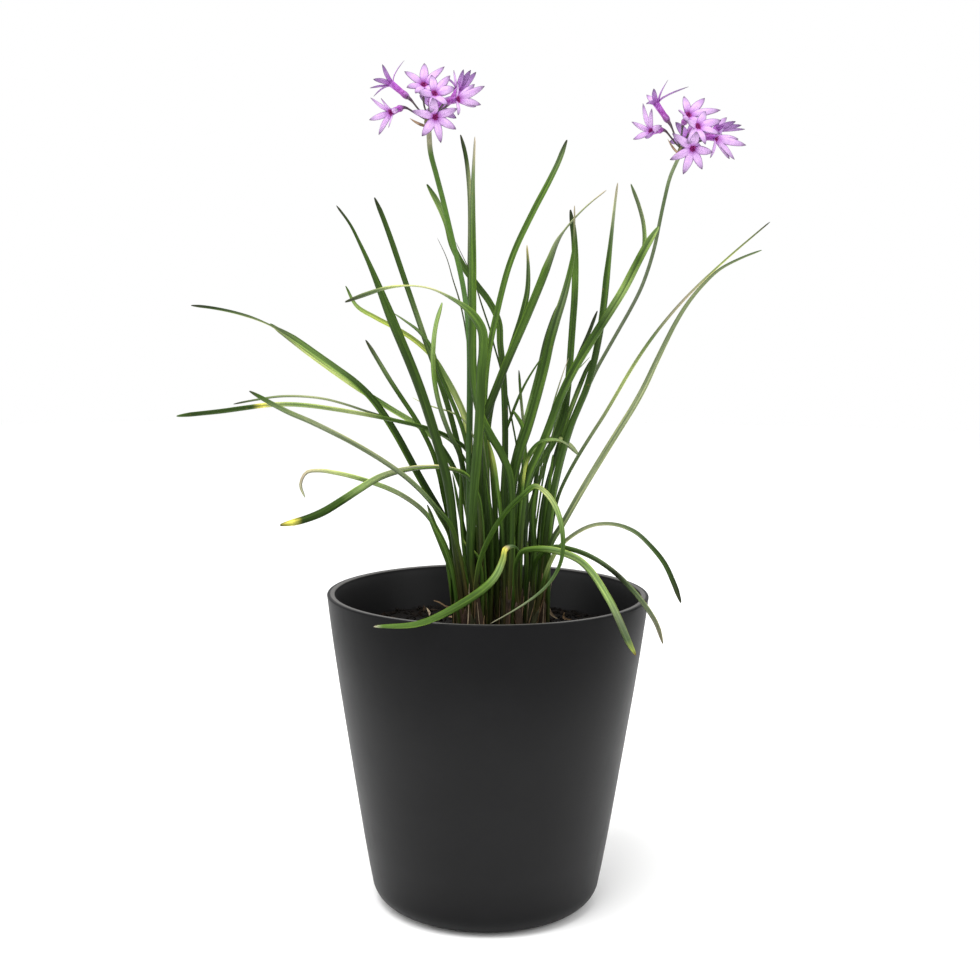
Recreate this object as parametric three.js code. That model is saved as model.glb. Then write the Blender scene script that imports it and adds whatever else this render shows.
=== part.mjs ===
// A potted society garlic: two flowering stems in a clump of strap leaves, in a tapered pot.
// Millimetres, +Z up. The origin is the centre of the pot's flat underside.
import * as THREE from "three";

// Pot
const POT_HEIGHT = 157;
const RIM_RADIUS = 80;
const BASE_RADIUS = 56;
const FOOT_ROUNDING = 9;
const LIP_ROUNDING = 1.2;
const WALL_THICKNESS = 3.8;
const FLOOR_THICKNESS = 6;
const POT_SIDES = 48;
const ARC_STEPS = 5;

// Potting mix
const MIX_EDGE_HEIGHT = 136;
const MIX_CROWN_HEIGHT = 139.5;
const MOUND_RADIUS = 60;
const MIX_SIDES = 32;
const GAP = 0.3;

// Leaves: flat straps with a shallow keel underneath
const LEAF_THICKNESS = 0.9;
const KEEL_SHARE = 0.7;
const ROOT_LIFT = 1.1;
const ROOT_WIDTH_SHARE = 0.72;
const FULL_WIDTH_FROM = 0.2;
const TAPER_FROM = 0.5;
const TAPER_POWER = 8;
const TIP_WIDTH = 0.6;
const RING_STEP = 11;
const FINE_STEPS = 3;

// How far the strands are pushed apart in depth, so that no two touch where they cross
const PUSH_ROUNDS = 90;
const SMOOTH_PASSES = 3;
const NEIGHBOUR_REACH = 9;
const SIDE_CLEARANCE = 0.45;
const DEPTH_CLEARANCE = 0.65;

// Flowering stems and umbels
const SCAPE_SIDES = 8;
const SPATHE_SIDES = 8;
const SPATHE_PROFILE = [[0, -3.2], [0.9, -3.2], [1.9, -1], [2, 0.6], [1, 1.7], [0, 1.9]];
const SPATHE_DROP = 3.6;
const FLORET_SIDES = 12;
const PEDICEL_START = 2.7;
const PEDICEL_RADIUS = 0.45;
const OVARY_RADIUS = 1.3;
const THROAT_RADIUS = 1.8;
const TEPAL_REACH = 10.5;
const TEPAL_VALLEY = 3.3;
const MOUTH_RADIUS = 1.4;
const NECK_LENGTH = 1.5;
const STAR_RISE = 1.6;
const MOUTH_DEPTH = 0.2;

// The routes are given as they look from the front: from this eye point, a place in the plane y = 0
// looks the same at any depth y, if it slides along its line of sight.
const EYE_DISTANCE = 713;
const EYE_HEIGHT = 297;

// Each leaf has its full width, its turn away from the front view in degrees at even steps from root
// to tip, the place of its root on the mix, its depth at even steps after the root, and its route as
// [x, z] points in the front view. Most leaves are blunt; one with a low taper narrows early.
const leftLeaves = [
  {
    width: 4.8, turn: [30, 15, 20], root: [-11.5, -8], depth: [-13, -22, -34], taper: 3,
    route: [
      [-17.5, 189], [-20.2, 210], [-25.3, 230], [-34.7, 259], [-48.3, 292], [-59.4, 319],
      [-70, 340], [-74.8, 346],
    ],
  },
  {
    width: 3.8, turn: [44, 44], root: [-5, 5], depth: [7, 12, 20],
    route: [
      [-10, 195], [-13, 218], [-20.3, 248], [-31.9, 281.6], [-41.8, 310], [-51.4, 337.5],
      [-56.5, 350],
    ],
  },
  {
    width: 3.2, turn: [42, 44], root: [-14, -3], depth: [-1, 4, 12], taper: 5,
    route: [[-18, 186], [-21.5, 200], [-26.9, 223.3], [-34.1, 238.8], [-48.9, 261.5], [-60.9, 281.5]],
  },
  {
    width: 4.4, turn: [30, 35, 50], root: [-10, 8], depth: [12, 22, 34, 44], taper: 4,
    route: [
      [-18, 187], [-23.3, 195.4], [-33.4, 212.2], [-45.8, 234.8], [-53.3, 246.5], [-62, 257],
      [-80, 270.5], [-107, 288], [-128, 295], [-146, 297.5],
    ],
  },
  {
    pale: true, width: 3.6, turn: [38, 38], root: [-4, 14], depth: [21, 32, 46, 60],
    route: [[-14, 210], [-28, 234], [-45, 245.5], [-66, 258.5], [-90, 275.5], [-107.5, 289]],
  },
  {
    width: 3.6, turn: [45, 60, 45], root: [1, 7.5], depth: [6, 2, -4, -10],
    route: [
      [-3, 205], [-10.5, 227], [-24, 236], [-42, 241], [-70, 246.3], [-94, 249.3], [-109, 249],
      [-130, 246], [-154, 243.3],
    ],
  },
  {
    width: 2, turn: [60, 60], root: [0, 18], depth: [22, 26, 30, 34],
    route: [[-8, 214], [-20, 233], [-40, 240.5], [-60, 246.3], [-80, 252.2], [-102, 253.5], [-126, 249.5]],
  },
  {
    width: 3.4, turn: [45, 45], root: [-8, -12.5], depth: [-22, -38, -52],
    route: [[-18, 188], [-24, 196], [-38.5, 211.7], [-60.8, 227], [-86, 240], [-102, 247], [-118, 256]],
  },
  {
    width: 4.2, turn: [60, 60, 66, 30, 20], root: [-3, -8.5], depth: [-12.5, -7, -22, -40],
    route: [
      [-6, 205], [-11, 215], [-22, 218.8], [-39, 218], [-55, 213.2], [-71, 203], [-87, 193.8],
      [-103.5, 189.5],
    ],
  },
  {
    width: 3.4, turn: [50, 40], root: [-13.5, 2], depth: [-2, -10, -18, -24], taper: 4, ringStep: 7,
    route: [
      [-20, 175], [-24.5, 185.7], [-31.8, 196.4], [-44, 205.4], [-60, 211.8], [-77, 216],
      [-87, 216.7], [-92, 214.5], [-93, 209], [-91, 203.5],
    ],
  },
  {
    width: 2.8, turn: [48, 48], root: [-12.5, -12.5], depth: [-18, -26],
    route: [[-19, 174], [-23.5, 184], [-29.5, 196], [-30.4, 200.5]],
  },
  {
    pale: true, width: 3.8, turn: [34, 34], root: [-8.5, 13], depth: [18, 26, 36],
    route: [
      [-10, 220], [-12, 242.7], [-19.9, 260], [-29.2, 274.6], [-41.5, 284.5], [-54.5, 291.4],
      [-67.2, 299.7], [-70.6, 307.6],
    ],
  },
  {
    width: 3.2, turn: [44, 44], root: [-7, 0.5], depth: [-2, -8, -14],
    route: [
      [-11, 205], [-15.6, 228], [-21.1, 238.8], [-26.6, 257.5], [-28.1, 275], [-26.1, 292],
      [-23.5, 300],
    ],
  },
  {
    width: 4.8, turn: [20, 20, 20, 20, 25, 68, 58], root: [-3, -14], depth: [-22, -34, -42, -46],
    route: [
      [-9, 172], [-8.5, 193], [-7.3, 212], [-5.8, 230.5], [-4.7, 250], [-4.4, 266.5], [-3.5, 284.5],
      [-8.3, 293.7], [-18.8, 301.8], [-31.7, 307.2], [-47.7, 307.2], [-70.8, 299.7],
    ],
  },
  {
    width: 4.2, turn: [44, 38], root: [8, -2], depth: [2, 10, 24],
    route: [
      [7.6, 190], [7.5, 240], [6.4, 265], [4.3, 283.4], [3.1, 294.2], [-5.8, 306.8],
      [-17.5, 324], [-22.8, 341], [-31.2, 356.5],
    ],
  },
];

const centreLeaves = [
  {
    width: 3.4, turn: [45, 45], root: [-5.5, 18.5], depth: [26, 38, 54],
    route: [[-8, 190], [-9.5, 230], [-9.5, 270], [-10.4, 310], [-10.6, 350], [-12.6, 369.5], [-15.1, 380]],
  },
  {
    width: 4.6, turn: [60, 36, 36, 55], root: [10, -13], depth: [-15, -17, -22, -34], taper: 3,
    route: [
      [9.5, 218], [3, 230.7], [-4.5, 245], [-8.2, 264], [-8.9, 290], [-9, 323.6], [-9.1, 355],
      [-8.1, 379.2],
    ],
  },
  {
    width: 3, turn: [37, 37], root: [14, 1], depth: [2, 5, 9],
    route: [[16.5, 200], [17, 225], [16.5, 239], [13.3, 245.2], [11.3, 248]],
  },
  {
    width: 2.2, turn: [54, 54], root: [17.5, 4.5], depth: [7, 12],
    route: [[19, 205], [18, 225], [16.8, 241], [15.6, 250], [14.2, 267.4]],
  },
  {
    width: 3.6, turn: [40, 40], root: [6, 17.5], depth: [32, 52, 78],
    route: [[9.5, 195], [12, 221], [17.2, 239.8], [24, 266], [28.4, 285.3], [34, 301]],
  },
];

const rightLeaves = [
  {
    width: 3.8, turn: [38, 38], root: [1.5, 2], depth: [4, 8, 16],
    route: [
      [-1, 190], [-2.5, 240], [-1.2, 270], [3.6, 296], [10.4, 321.6], [22.7, 348.2],
      [31.2, 364.7], [36.2, 378],
    ],
  },
  {
    width: 3.8, turn: [38, 38], root: [4.5, 11.5], depth: [16, 24, 34],
    route: [[-1, 225], [1.5, 251.6], [7.5, 268.5], [13.4, 287], [17.4, 301], [18.5, 312], [17.5, 328]],
  },
  {
    width: 4.8, turn: [36, 36], root: [-2.5, -2.5], depth: [-8, -20, -36],
    route: [
      [-4.5, 215], [-3.8, 239], [1, 251.6], [7.5, 268.5], [18.6, 294.6], [26.7, 314.8],
      [33, 331], [43.8, 344.4], [55.6, 354.4],
    ],
  },
  {
    width: 4.6, turn: [41, 41], root: [13, 11], depth: [15, 24, 42],
    route: [
      [17, 195], [20.9, 215.3], [30.1, 229], [36.6, 244.3], [39, 264.4], [40.2, 285],
      [41.4, 309], [40.6, 331.4], [38.3, 345],
    ],
  },
  {
    width: 4.6, turn: [21, 21], root: [8.5, -7.5], depth: [-12, -22, -38],
    route: [
      [10.5, 195], [13.7, 221], [19.4, 239.8], [26.3, 266], [30.4, 285.3], [36.1, 304.3],
      [40.2, 325], [40.3, 347],
    ],
  },
  {
    width: 4.4, turn: [42, 42], root: [27, -1], depth: [-4, -10, -18], taper: 3,
    route: [
      [29, 185], [33.8, 216], [39.5, 237.8], [48.5, 260.8], [54.2, 288], [57.2, 318],
      [60, 349], [61, 358],
    ],
  },
  {
    width: 3.2, turn: [49, 49], root: [18, 9.5], depth: [16, 26, 42],
    route: [
      [26.5, 231], [38.2, 260], [52.6, 286.6], [67, 310], [74, 325], [74.7, 333.5],
      [70.5, 350.3], [67.3, 357.5],
    ],
  },
  {
    width: 4.6, turn: [30, 30], root: [15.5, -5.5], depth: [-12, -28, -48],
    route: [
      [16.5, 195], [19.9, 215.6], [26.5, 231], [34.9, 253.6], [41, 267], [52.6, 286.6],
      [64.9, 306.7], [74.4, 325.7], [81.2, 337.3],
    ],
  },
  {
    width: 3, turn: [48, 48], root: [12, 17], depth: [24, 36, 48],
    route: [[20, 195], [28, 222], [33.5, 240], [41, 268], [46.9, 282], [52.2, 296.6]],
  },
  {
    width: 3.4, turn: [43, 43], root: [24, 14], depth: [20, 34],
    route: [[27, 200], [33, 225], [38.5, 243.6], [43.7, 258], [49.4, 272.6]],
  },
  {
    width: 2.8, turn: [54, 57], root: [28, 3.5], depth: [5, 18, 40], taper: 3,
    route: [
      [34, 203], [43.5, 224], [57.6, 247.4], [71, 271], [81.3, 286.4], [95, 303],
      [115, 322.5], [135, 340],
    ],
  },
  {
    width: 4.2, turn: [44, 44, 58], root: [26.5, -7], depth: [-8, -4, 6], taper: 2.5,
    route: [
      [31, 180], [37.5, 192], [46.8, 209], [60.3, 232], [74.4, 256], [85.5, 280.3],
      [96, 300], [112, 317.5], [131.5, 326.5],
    ],
  },
  {
    width: 3.2, turn: [48, 44], root: [11, 5], depth: [10, 18, 26], ringStep: 7,
    route: [[16, 212], [19.8, 225.2], [23.5, 229.7], [31.7, 233.7], [40.4, 230], [44.5, 225.6]],
  },
];

const droopingLeaves = [
  {
    width: 3.8, turn: [50, 55, 66, 55, 35], root: [21.5, -12.5], depth: [-12, -4, 8, 18, 22],
    route: [
      [33, 176], [44, 187], [52, 190.7], [62, 191.3], [72, 188], [86.5, 173.5], [92, 163],
      [96.5, 152],
    ],
  },
  {
    width: 3.4, turn: [46, 46], root: [21, -3], depth: [-5, -12, -22, -35, -38],
    route: [[24, 172], [28, 178], [36, 179.5], [55, 172.7], [74, 156], [86, 138], [88, 131]],
  },
  {
    pale: true, width: 4, turn: [32, 32], root: [16, -17], depth: [-21, -31, -46, -61, -63], ringStep: 7,
    route: [[14, 168], [15.4, 176], [20, 178], [30, 178.3], [46, 172.5], [60, 154], [71, 131], [74.5, 125]],
  },
  {
    pale: true, width: 4.4, turn: [24, 24], root: [15.5, -11],
    depth: [-16, -26, -50, -74, -80, -79], ringStep: 5,
    route: [
      [16.2, 176], [14.6, 178.5], [12, 180.5], [9.5, 180], [7.5, 173], [4.5, 165.5],
      [-1, 159], [-17, 148], [-35, 140], [-57, 138.5],
    ],
  },
  {
    width: 3.4, turn: [40, 40], root: [-7.5, -17], depth: [-22, -32, -44, -54, -59], ringStep: 7,
    route: [
      [-4, 172], [4, 190], [9.6, 198], [16.7, 205], [23.5, 210], [31.5, 202.5], [35.5, 193],
      [37, 182], [36, 172], [31.5, 163], [25, 156], [17, 150], [9, 145], [1.5, 140.7],
    ],
  },
];

// Each umbel has its hub in the front view, the hub's depth, and its lean to the right in degrees.
const umbels = {
  left: { hub: [-30.5, 386.5], depth: -6, lean: -3 },
  right: { hub: [91.1, 374.2], depth: 12, lean: 13.5 },
};

const scapes = {
  left: {
    width: 2.5, root: [-7.5, -4], depth: [-5, -6, -6],
    route: [[-10, 210], [-10.5, 285], [-13.5, 308.8], [-18.5, 329.5], [-24.6, 354], [-29.5, 372.2]],
  },
  right: {
    width: 1.8, root: [22.5, 11], depth: [11, 12, 12],
    route: [
      [37.5, 228], [50.1, 263.4], [62.8, 287.4], [72.9, 306.8], [78.7, 324.6], [81.9, 341],
      [84.9, 355.8], [88.4, 368],
    ],
  },
};

// Florets around an upright hub: the foot and the mouth of each tube, and the turn of its star.
// A floret with a reach and a rise of its own is half open, its tepals more upright.
const florets = [
  { foot: [-9.3, 2, 11.5], mouth: [-17.3, 4, 18.8], spin: 10 },
  { foot: [-12, -7, 5.6], mouth: [-18.3, -12, 4.7], spin: 0 },
  { foot: [-2, 0, 12], mouth: [-2.3, -7, 17], spin: 30 },
  { foot: [1.5, -7, 7.5], mouth: [3.5, -15, 12.5], spin: 0 },
  { foot: [9, -3, 7.7], mouth: [14.3, -8, 9.7], spin: 20 },
  { foot: [10.5, 3, 8.5], mouth: [15, 5, 14.5], spin: 20, reach: 6.5, rise: 7 },
  { foot: [1.5, -8.5, 1], mouth: [3.4, -17.5, 1], spin: 10 },
  { foot: [2, 8, 5], mouth: [4, 16, 8], spin: 0 },
];

function material(color, roughness) {
  return new THREE.MeshStandardMaterial({ color, roughness, metalness: 0 });
}

const potMaterial = material("#2e2e30", 0.5);
const mixMaterial = material("#2b211a", 0.95);
const leafMaterial = material("#3f6a26", 0.5);
const paleLeafMaterial = material("#86a650", 0.5);
const scapeMaterial = material("#55703c", 0.5);
const spatheMaterial = material("#a8987e", 0.8);
const tepalMaterial = material("#cf93ea", 0.6);

function mesh(name, geometry, surface) {
  const part = new THREE.Mesh(geometry, surface);
  part.name = name;
  return part;
}

// A profile of [radius, height] points, turned about the upright axis.
function turned(profile, sides) {
  const points = profile.map(([radius, height]) => new THREE.Vector2(radius, height));
  return new THREE.LatheGeometry(points, sides).rotateX(Math.PI / 2);
}

function arc(radius, height, bend, from, to) {
  const points = [];
  for (let step = 0; step <= ARC_STEPS; step += 1) {
    const angle = THREE.MathUtils.degToRad(from + ((to - from) * step) / ARC_STEPS);
    points.push([radius + bend * Math.cos(angle), height + bend * Math.sin(angle)]);
  }
  return points;
}

function outerRadius(height) {
  return BASE_RADIUS + ((RIM_RADIUS - BASE_RADIUS) * height) / POT_HEIGHT;
}

function innerRadius(height) {
  return outerRadius(height) - WALL_THICKNESS;
}

// The foot's arc meets the flat underside and the sloping wall without a corner.
function potGeometry() {
  const slope = Math.atan((RIM_RADIUS - BASE_RADIUS) / POT_HEIGHT);
  const footInset = (FOOT_ROUNDING * (1 - Math.sin(slope))) / Math.cos(slope);
  const wallAngle = -THREE.MathUtils.radToDeg(slope);
  const foot = arc(BASE_RADIUS - footInset, FOOT_ROUNDING, FOOT_ROUNDING, -90, wallAngle);
  const lipHeight = POT_HEIGHT - LIP_ROUNDING;
  const innerLip = RIM_RADIUS - WALL_THICKNESS + LIP_ROUNDING;
  const rim = [
    ...arc(RIM_RADIUS - LIP_ROUNDING, lipHeight, LIP_ROUNDING, 0, 90),
    ...arc(innerLip, lipHeight, LIP_ROUNDING, 90, 180),
  ];
  const inside = [[innerRadius(FLOOR_THICKNESS), FLOOR_THICKNESS], [0, FLOOR_THICKNESS]];
  return turned([[0, 0], ...foot, ...rim, ...inside], POT_SIDES);
}

function mixHeight(radius) {
  const fall = Math.min(1, radius / MOUND_RADIUS);
  const rise = 0.5 + 0.5 * Math.cos(Math.PI * fall);
  return MIX_EDGE_HEIGHT + (MIX_CROWN_HEIGHT - MIX_EDGE_HEIGHT) * rise;
}

function mixGeometry() {
  const bottom = FLOOR_THICKNESS + GAP;
  const profile = [[0, bottom], [innerRadius(bottom) - 2 * GAP, bottom]];
  for (const radius of [innerRadius(MIX_EDGE_HEIGHT) - 2 * GAP, 60, 45, 30, 15, 0]) {
    profile.push([radius, mixHeight(radius)]);
  }
  return turned(profile, MIX_SIDES);
}

// A closed solid through rings of equal size, with a flat cap on its first and last ring.
function loft(rings) {
  const size = rings[0].length;
  const last = (rings.length - 1) * size;
  const index = [];
  for (let ring = 0; ring < rings.length - 1; ring += 1) {
    for (let side = 0; side < size; side += 1) {
      const a = ring * size + side;
      const b = ring * size + ((side + 1) % size);
      index.push(a, b, b + size, a, b + size, a + size);
    }
  }
  for (let side = 1; side < size - 1; side += 1) {
    index.push(0, side + 1, side, last, last + side, last + side + 1);
  }
  const geometry = new THREE.BufferGeometry().setFromPoints(rings.flat());
  geometry.setIndex(index);
  geometry.computeVertexNormals();
  return geometry;
}

// A ring about a centre, in the plane of u and v, with one radius for each of its corners.
function ringAround(centre, u, v, radii) {
  return radii.map((radius, corner) => {
    const angle = (2 * Math.PI * corner) / radii.length;
    const point = centre.clone().addScaledVector(u, radius * Math.cos(angle));
    return point.addScaledVector(v, radius * Math.sin(angle));
  });
}

function atDepth(x, z, depth) {
  const scale = (EYE_DISTANCE + depth) / EYE_DISTANCE;
  return new THREE.Vector3(x * scale, depth, EYE_HEIGHT + (z - EYE_HEIGHT) * scale);
}

function frontView(point) {
  const scale = EYE_DISTANCE / (EYE_DISTANCE + point.y);
  return new THREE.Vector3(point.x * scale, EYE_HEIGHT + (point.z - EYE_HEIGHT) * scale, 0);
}

// The value at a share of the way along a list of values at even steps, on a smooth curve.
function along(values, share) {
  const points = values.map((value) => new THREE.Vector3(0, value, 0));
  return new THREE.CatmullRomCurve3(points, false, "catmullrom").getPoint(share).y;
}

// A strand is a leaf's or a stem's centre line: samples in the front view, each with its depth, and
// half its breadth across the view and in depth.
function strand(spec, end) {
  const [x, y] = spec.root;
  const root = new THREE.Vector3(x, y, mixHeight(Math.hypot(x, y)) + ROOT_LIFT);
  const seen = [frontView(root), ...spec.route.map(([across, up]) => new THREE.Vector3(across, up, 0))];
  if (end) {
    seen.push(frontView(end));
  }
  const curve = new THREE.CatmullRomCurve3(seen, false, "centripetal");
  const rings = Math.round(curve.getLength() / (spec.ringStep ?? RING_STEP));
  const samples = curve.getSpacedPoints(rings * FINE_STEPS).map((point, number, all) => {
    const share = number / (all.length - 1);
    const turn = THREE.MathUtils.degToRad(along(spec.turn ?? [0, 0], share));
    const depth = along([y, ...spec.depth], share);
    const acrossHalf = (Math.cos(turn) * spec.width) / 2;
    const leafDepthHalf = (Math.sin(turn) * spec.width + LEAF_THICKNESS) / 2;
    const depthHalf = spec.turn ? leafDepthHalf : acrossHalf;
    return { x: point.x, z: point.y, share, turn, depth, push: 0, acrossHalf, depthHalf };
  });
  return { spec, samples };
}

// Where a sample and another strand are too close, both are given half of the missing depth. Each
// pair is met twice, once from either side.
function pushApart(sample, other) {
  for (let number = 0; number < other.samples.length - 1; number += 1) {
    const from = other.samples[number];
    const offset = Math.max(Math.abs(sample.x - from.x), Math.abs(sample.z - from.z));
    if (offset > NEIGHBOUR_REACH) {
      continue;
    }
    const to = other.samples[number + 1];
    const run = to.x - from.x;
    const rise = to.z - from.z;
    const share = ((sample.x - from.x) * run + (sample.z - from.z) * rise) / (run * run + rise * rise);
    const nearest = Math.min(1, Math.max(0, share));
    const across = Math.hypot(sample.x - from.x - nearest * run, sample.z - from.z - nearest * rise);
    if (across > sample.acrossHalf + from.acrossHalf + SIDE_CLEARANCE) {
      continue;
    }
    const apart = sample.depth - from.depth - nearest * (to.depth - from.depth);
    const missing = sample.depthHalf + from.depthHalf + DEPTH_CLEARANCE - Math.abs(apart);
    if (missing > 0) {
      const move = (Math.sign(apart) * missing) / 4;
      sample.push += move;
      from.push -= move * (1 - nearest);
      to.push -= move * nearest;
    }
  }
}

// Strands that cross in the front view pass in front of or behind each other; the roots stay put.
function spreadInDepth(strands) {
  for (let round = 0; round < PUSH_ROUNDS; round += 1) {
    for (const one of strands) {
      for (const other of strands.filter((candidate) => candidate !== one)) {
        one.samples.forEach((sample) => pushApart(sample, other));
      }
    }
    strands.forEach(settle);
  }
}

function settle({ samples }) {
  samples[0].push = 0;
  for (let pass = 0; pass < SMOOTH_PASSES; pass += 1) {
    const before = samples.map((sample) => sample.push);
    for (let number = 1; number < samples.length - 1; number += 1) {
      samples[number].push = (before[number - 1] + 2 * before[number] + before[number + 1]) / 4;
    }
  }
  for (const sample of samples) {
    sample.depth += sample.push;
    sample.push = 0;
  }
}

// The strand's centre points and directions, at every ring.
function rings3d({ samples }) {
  const points = samples.map((sample) => atDepth(sample.x, sample.z, sample.depth));
  return samples
    .map((sample, number) => {
      const before = points[Math.max(0, number - 1)];
      const after = points[Math.min(points.length - 1, number + 1)];
      return { sample, centre: points[number], forward: after.clone().sub(before).normalize() };
    })
    .filter((_, number) => number % FINE_STEPS === 0);
}

function leafWidth(width, power, share) {
  const rise = Math.min(1, share / FULL_WIDTH_FROM);
  const fall = Math.max(0, (share - TAPER_FROM) / (1 - TAPER_FROM));
  const full = width * (ROOT_WIDTH_SHARE + (1 - ROOT_WIDTH_SHARE) * rise);
  return TIP_WIDTH + (full - TIP_WIDTH) * (1 - fall ** power);
}

// A leaf leaning left or right, to the front or to the back, has its upper face turned inwards.
function leafGeometry(line) {
  const { spec, samples } = line;
  const tip = samples[samples.length - 1];
  const sideways = Math.sign(tip.x - samples[0].x);
  const frontwards = Math.sign(samples[0].depth - tip.depth);
  const eye = new THREE.Vector3(0, -EYE_DISTANCE, EYE_HEIGHT);
  const rings = rings3d(line).map(({ sample, centre, forward }) => {
    const sight = centre.clone().sub(eye).normalize();
    const across = sight.clone().cross(forward).normalize();
    const inward = forward.clone().cross(across);
    const breadth = across.multiplyScalar(frontwards * Math.cos(sample.turn));
    breadth.addScaledVector(inward, sideways * Math.sin(sample.turn));
    const upper = forward.clone().cross(breadth);
    const half = leafWidth(spec.width, spec.taper ?? TAPER_POWER, sample.share) / 2;
    return [
      centre.clone().addScaledVector(breadth, half),
      centre.clone().addScaledVector(upper, LEAF_THICKNESS * (1 - KEEL_SHARE)),
      centre.clone().addScaledVector(breadth, -half),
      centre.clone().addScaledVector(upper, -LEAF_THICKNESS * KEEL_SHARE),
    ];
  });
  return loft(rings);
}

function scapeGeometry(line) {
  const radii = Array(SCAPE_SIDES).fill(line.spec.width / 2);
  const rings = rings3d(line).map(({ centre, forward }) => {
    const u = new THREE.Vector3(1, 0, 0).addScaledVector(forward, -forward.x).normalize();
    return ringAround(centre, u, forward.clone().cross(u), radii);
  });
  return loft(rings);
}

// The knob at the top of a stem, where the two bracts sit and the flower stalks begin.
function spatheGeometry() {
  return turned(SPATHE_PROFILE, SPATHE_SIDES);
}

// A floret: a thin stalk from the hub, a tube, and a star of six tepals around its mouth.
function floretGeometry({ foot, mouth, spin, reach = TEPAL_REACH, rise = STAR_RISE }) {
  const base = new THREE.Vector3(...foot);
  const throat = new THREE.Vector3(...mouth);
  const start = base.clone().setLength(PEDICEL_START);
  const axis = throat.clone().sub(base).normalize();
  const neck = base.clone().addScaledVector(axis, -NECK_LENGTH);
  const turn = THREE.MathUtils.degToRad(spin);
  const level = new THREE.Vector3(-axis.z, 0, axis.x).normalize();
  const u = level.applyAxisAngle(axis, turn);
  const v = axis.clone().cross(u);
  const round = (radius) => Array(FLORET_SIDES).fill(radius);
  const star = round(reach).map((tip, corner) => (corner % 2 ? TEPAL_VALLEY : tip));
  const ahead = (distance) => throat.clone().addScaledVector(axis, distance);
  return loft([
    ringAround(start, u, v, round(PEDICEL_RADIUS)),
    ringAround(neck, u, v, round(PEDICEL_RADIUS)),
    ringAround(base, u, v, round(OVARY_RADIUS)),
    ringAround(throat, u, v, round(THROAT_RADIUS)),
    ringAround(ahead(rise), u, v, star),
    ringAround(ahead(rise + MOUTH_DEPTH), u, v, round(MOUTH_RADIUS)),
  ]);
}

function umbelGroup(side, { hub, depth, lean }) {
  const group = new THREE.Group();
  group.position.copy(atDepth(hub[0], hub[1], depth));
  group.rotation.y = THREE.MathUtils.degToRad(lean);
  group.add(mesh(`spathe_${side}`, spatheGeometry(), spatheMaterial));
  florets.forEach((floret, number) => {
    group.add(mesh(`floret_${side}_${number + 1}`, floretGeometry(floret), tepalMaterial));
  });
  group.updateMatrixWorld();
  return group;
}

const plant = new THREE.Group();
plant.add(mesh("pot", potGeometry(), potMaterial));
plant.add(mesh("potting_mix", mixGeometry(), mixMaterial));

const strands = {};
for (const [side, umbel] of Object.entries(umbels)) {
  const group = umbelGroup(side, umbel);
  const scapeTop = group.localToWorld(new THREE.Vector3(0, 0, -SPATHE_DROP));
  strands[`scape_${side}`] = strand(scapes[side], scapeTop);
  plant.add(group);
}

const leafGroups = {
  left: leftLeaves,
  centre: centreLeaves,
  right: rightLeaves,
  drooping: droopingLeaves,
};
for (const [place, leaves] of Object.entries(leafGroups)) {
  leaves.forEach((leaf, number) => {
    strands[`leaf_${place}_${number + 1}`] = strand(leaf);
  });
}

spreadInDepth(Object.values(strands));
for (const [name, line] of Object.entries(strands)) {
  if (line.spec.turn) {
    plant.add(mesh(name, leafGeometry(line), line.spec.pale ? paleLeafMaterial : leafMaterial));
  } else {
    plant.add(mesh(name, scapeGeometry(line), scapeMaterial));
  }
}

export default plant;
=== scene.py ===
"""A potted society garlic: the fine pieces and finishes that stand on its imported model. Lengths in metres."""

import itertools
import math
import random

import bmesh
import bpy
import numpy as np
from mathutils import Euler, Matrix, Vector, noise


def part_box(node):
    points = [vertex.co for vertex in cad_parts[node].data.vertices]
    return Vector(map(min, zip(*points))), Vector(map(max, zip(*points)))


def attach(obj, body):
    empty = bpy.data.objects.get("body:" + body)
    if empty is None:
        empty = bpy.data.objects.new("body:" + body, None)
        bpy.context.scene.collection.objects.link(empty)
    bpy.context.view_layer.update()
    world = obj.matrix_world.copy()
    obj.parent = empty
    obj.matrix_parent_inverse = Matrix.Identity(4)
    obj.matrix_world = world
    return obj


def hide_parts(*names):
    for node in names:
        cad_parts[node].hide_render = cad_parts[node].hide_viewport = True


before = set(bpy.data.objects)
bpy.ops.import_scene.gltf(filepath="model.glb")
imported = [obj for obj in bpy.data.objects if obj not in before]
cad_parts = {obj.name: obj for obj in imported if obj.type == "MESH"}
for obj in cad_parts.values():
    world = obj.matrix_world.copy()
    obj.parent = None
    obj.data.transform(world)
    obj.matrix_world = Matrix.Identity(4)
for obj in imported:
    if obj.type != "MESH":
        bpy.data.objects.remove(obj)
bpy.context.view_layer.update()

MM = 0.001
ROOT_BODY = "root"
SEED = 11

# The eye that took the photograph: where it is, how it is tilted, and its focal length.
EYE = Vector((0.0006, -0.713, 0.297))
TILT_DOWN = math.radians(7.11)
ROLL = math.radians(0.49)
FOCAL_PIXELS = 1451
PICTURE_PIXELS = 980
SENSOR_WIDTH = 36
FLOOR_HEIGHT = -0.2 * MM
FLOOR_SIDES = 64
FLOOR_RADII = [0.02, 0.3, 0.8, 1.6, 2.4, 3.2]
LIGHTS_AIM = Vector((0, 0, 0.22))

# Pot.
POT_WALL = 3.8 * MM
POT_FLOOR = 6 * MM
POT_BASE_RADIUS = 56 * MM
FOOT_ROUND = 12 * MM
INNER_ROUND = 5 * MM
LIP_ROUND = 0.7 * MM
# How far the outside swells beyond a straight wall: heights and swells in millimetres.
WALL_SWELL = [(11, 0), (20, 0.35), (32, 0.6), (50, 0.75), (80, 0.85), (110, 0.88), (130, 0.7), (146, 0.35),
              (156, 0)]
POT_SIDES = 192
OUTER_WALL_STEPS = 60
INNER_WALL_STEPS = 30

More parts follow.
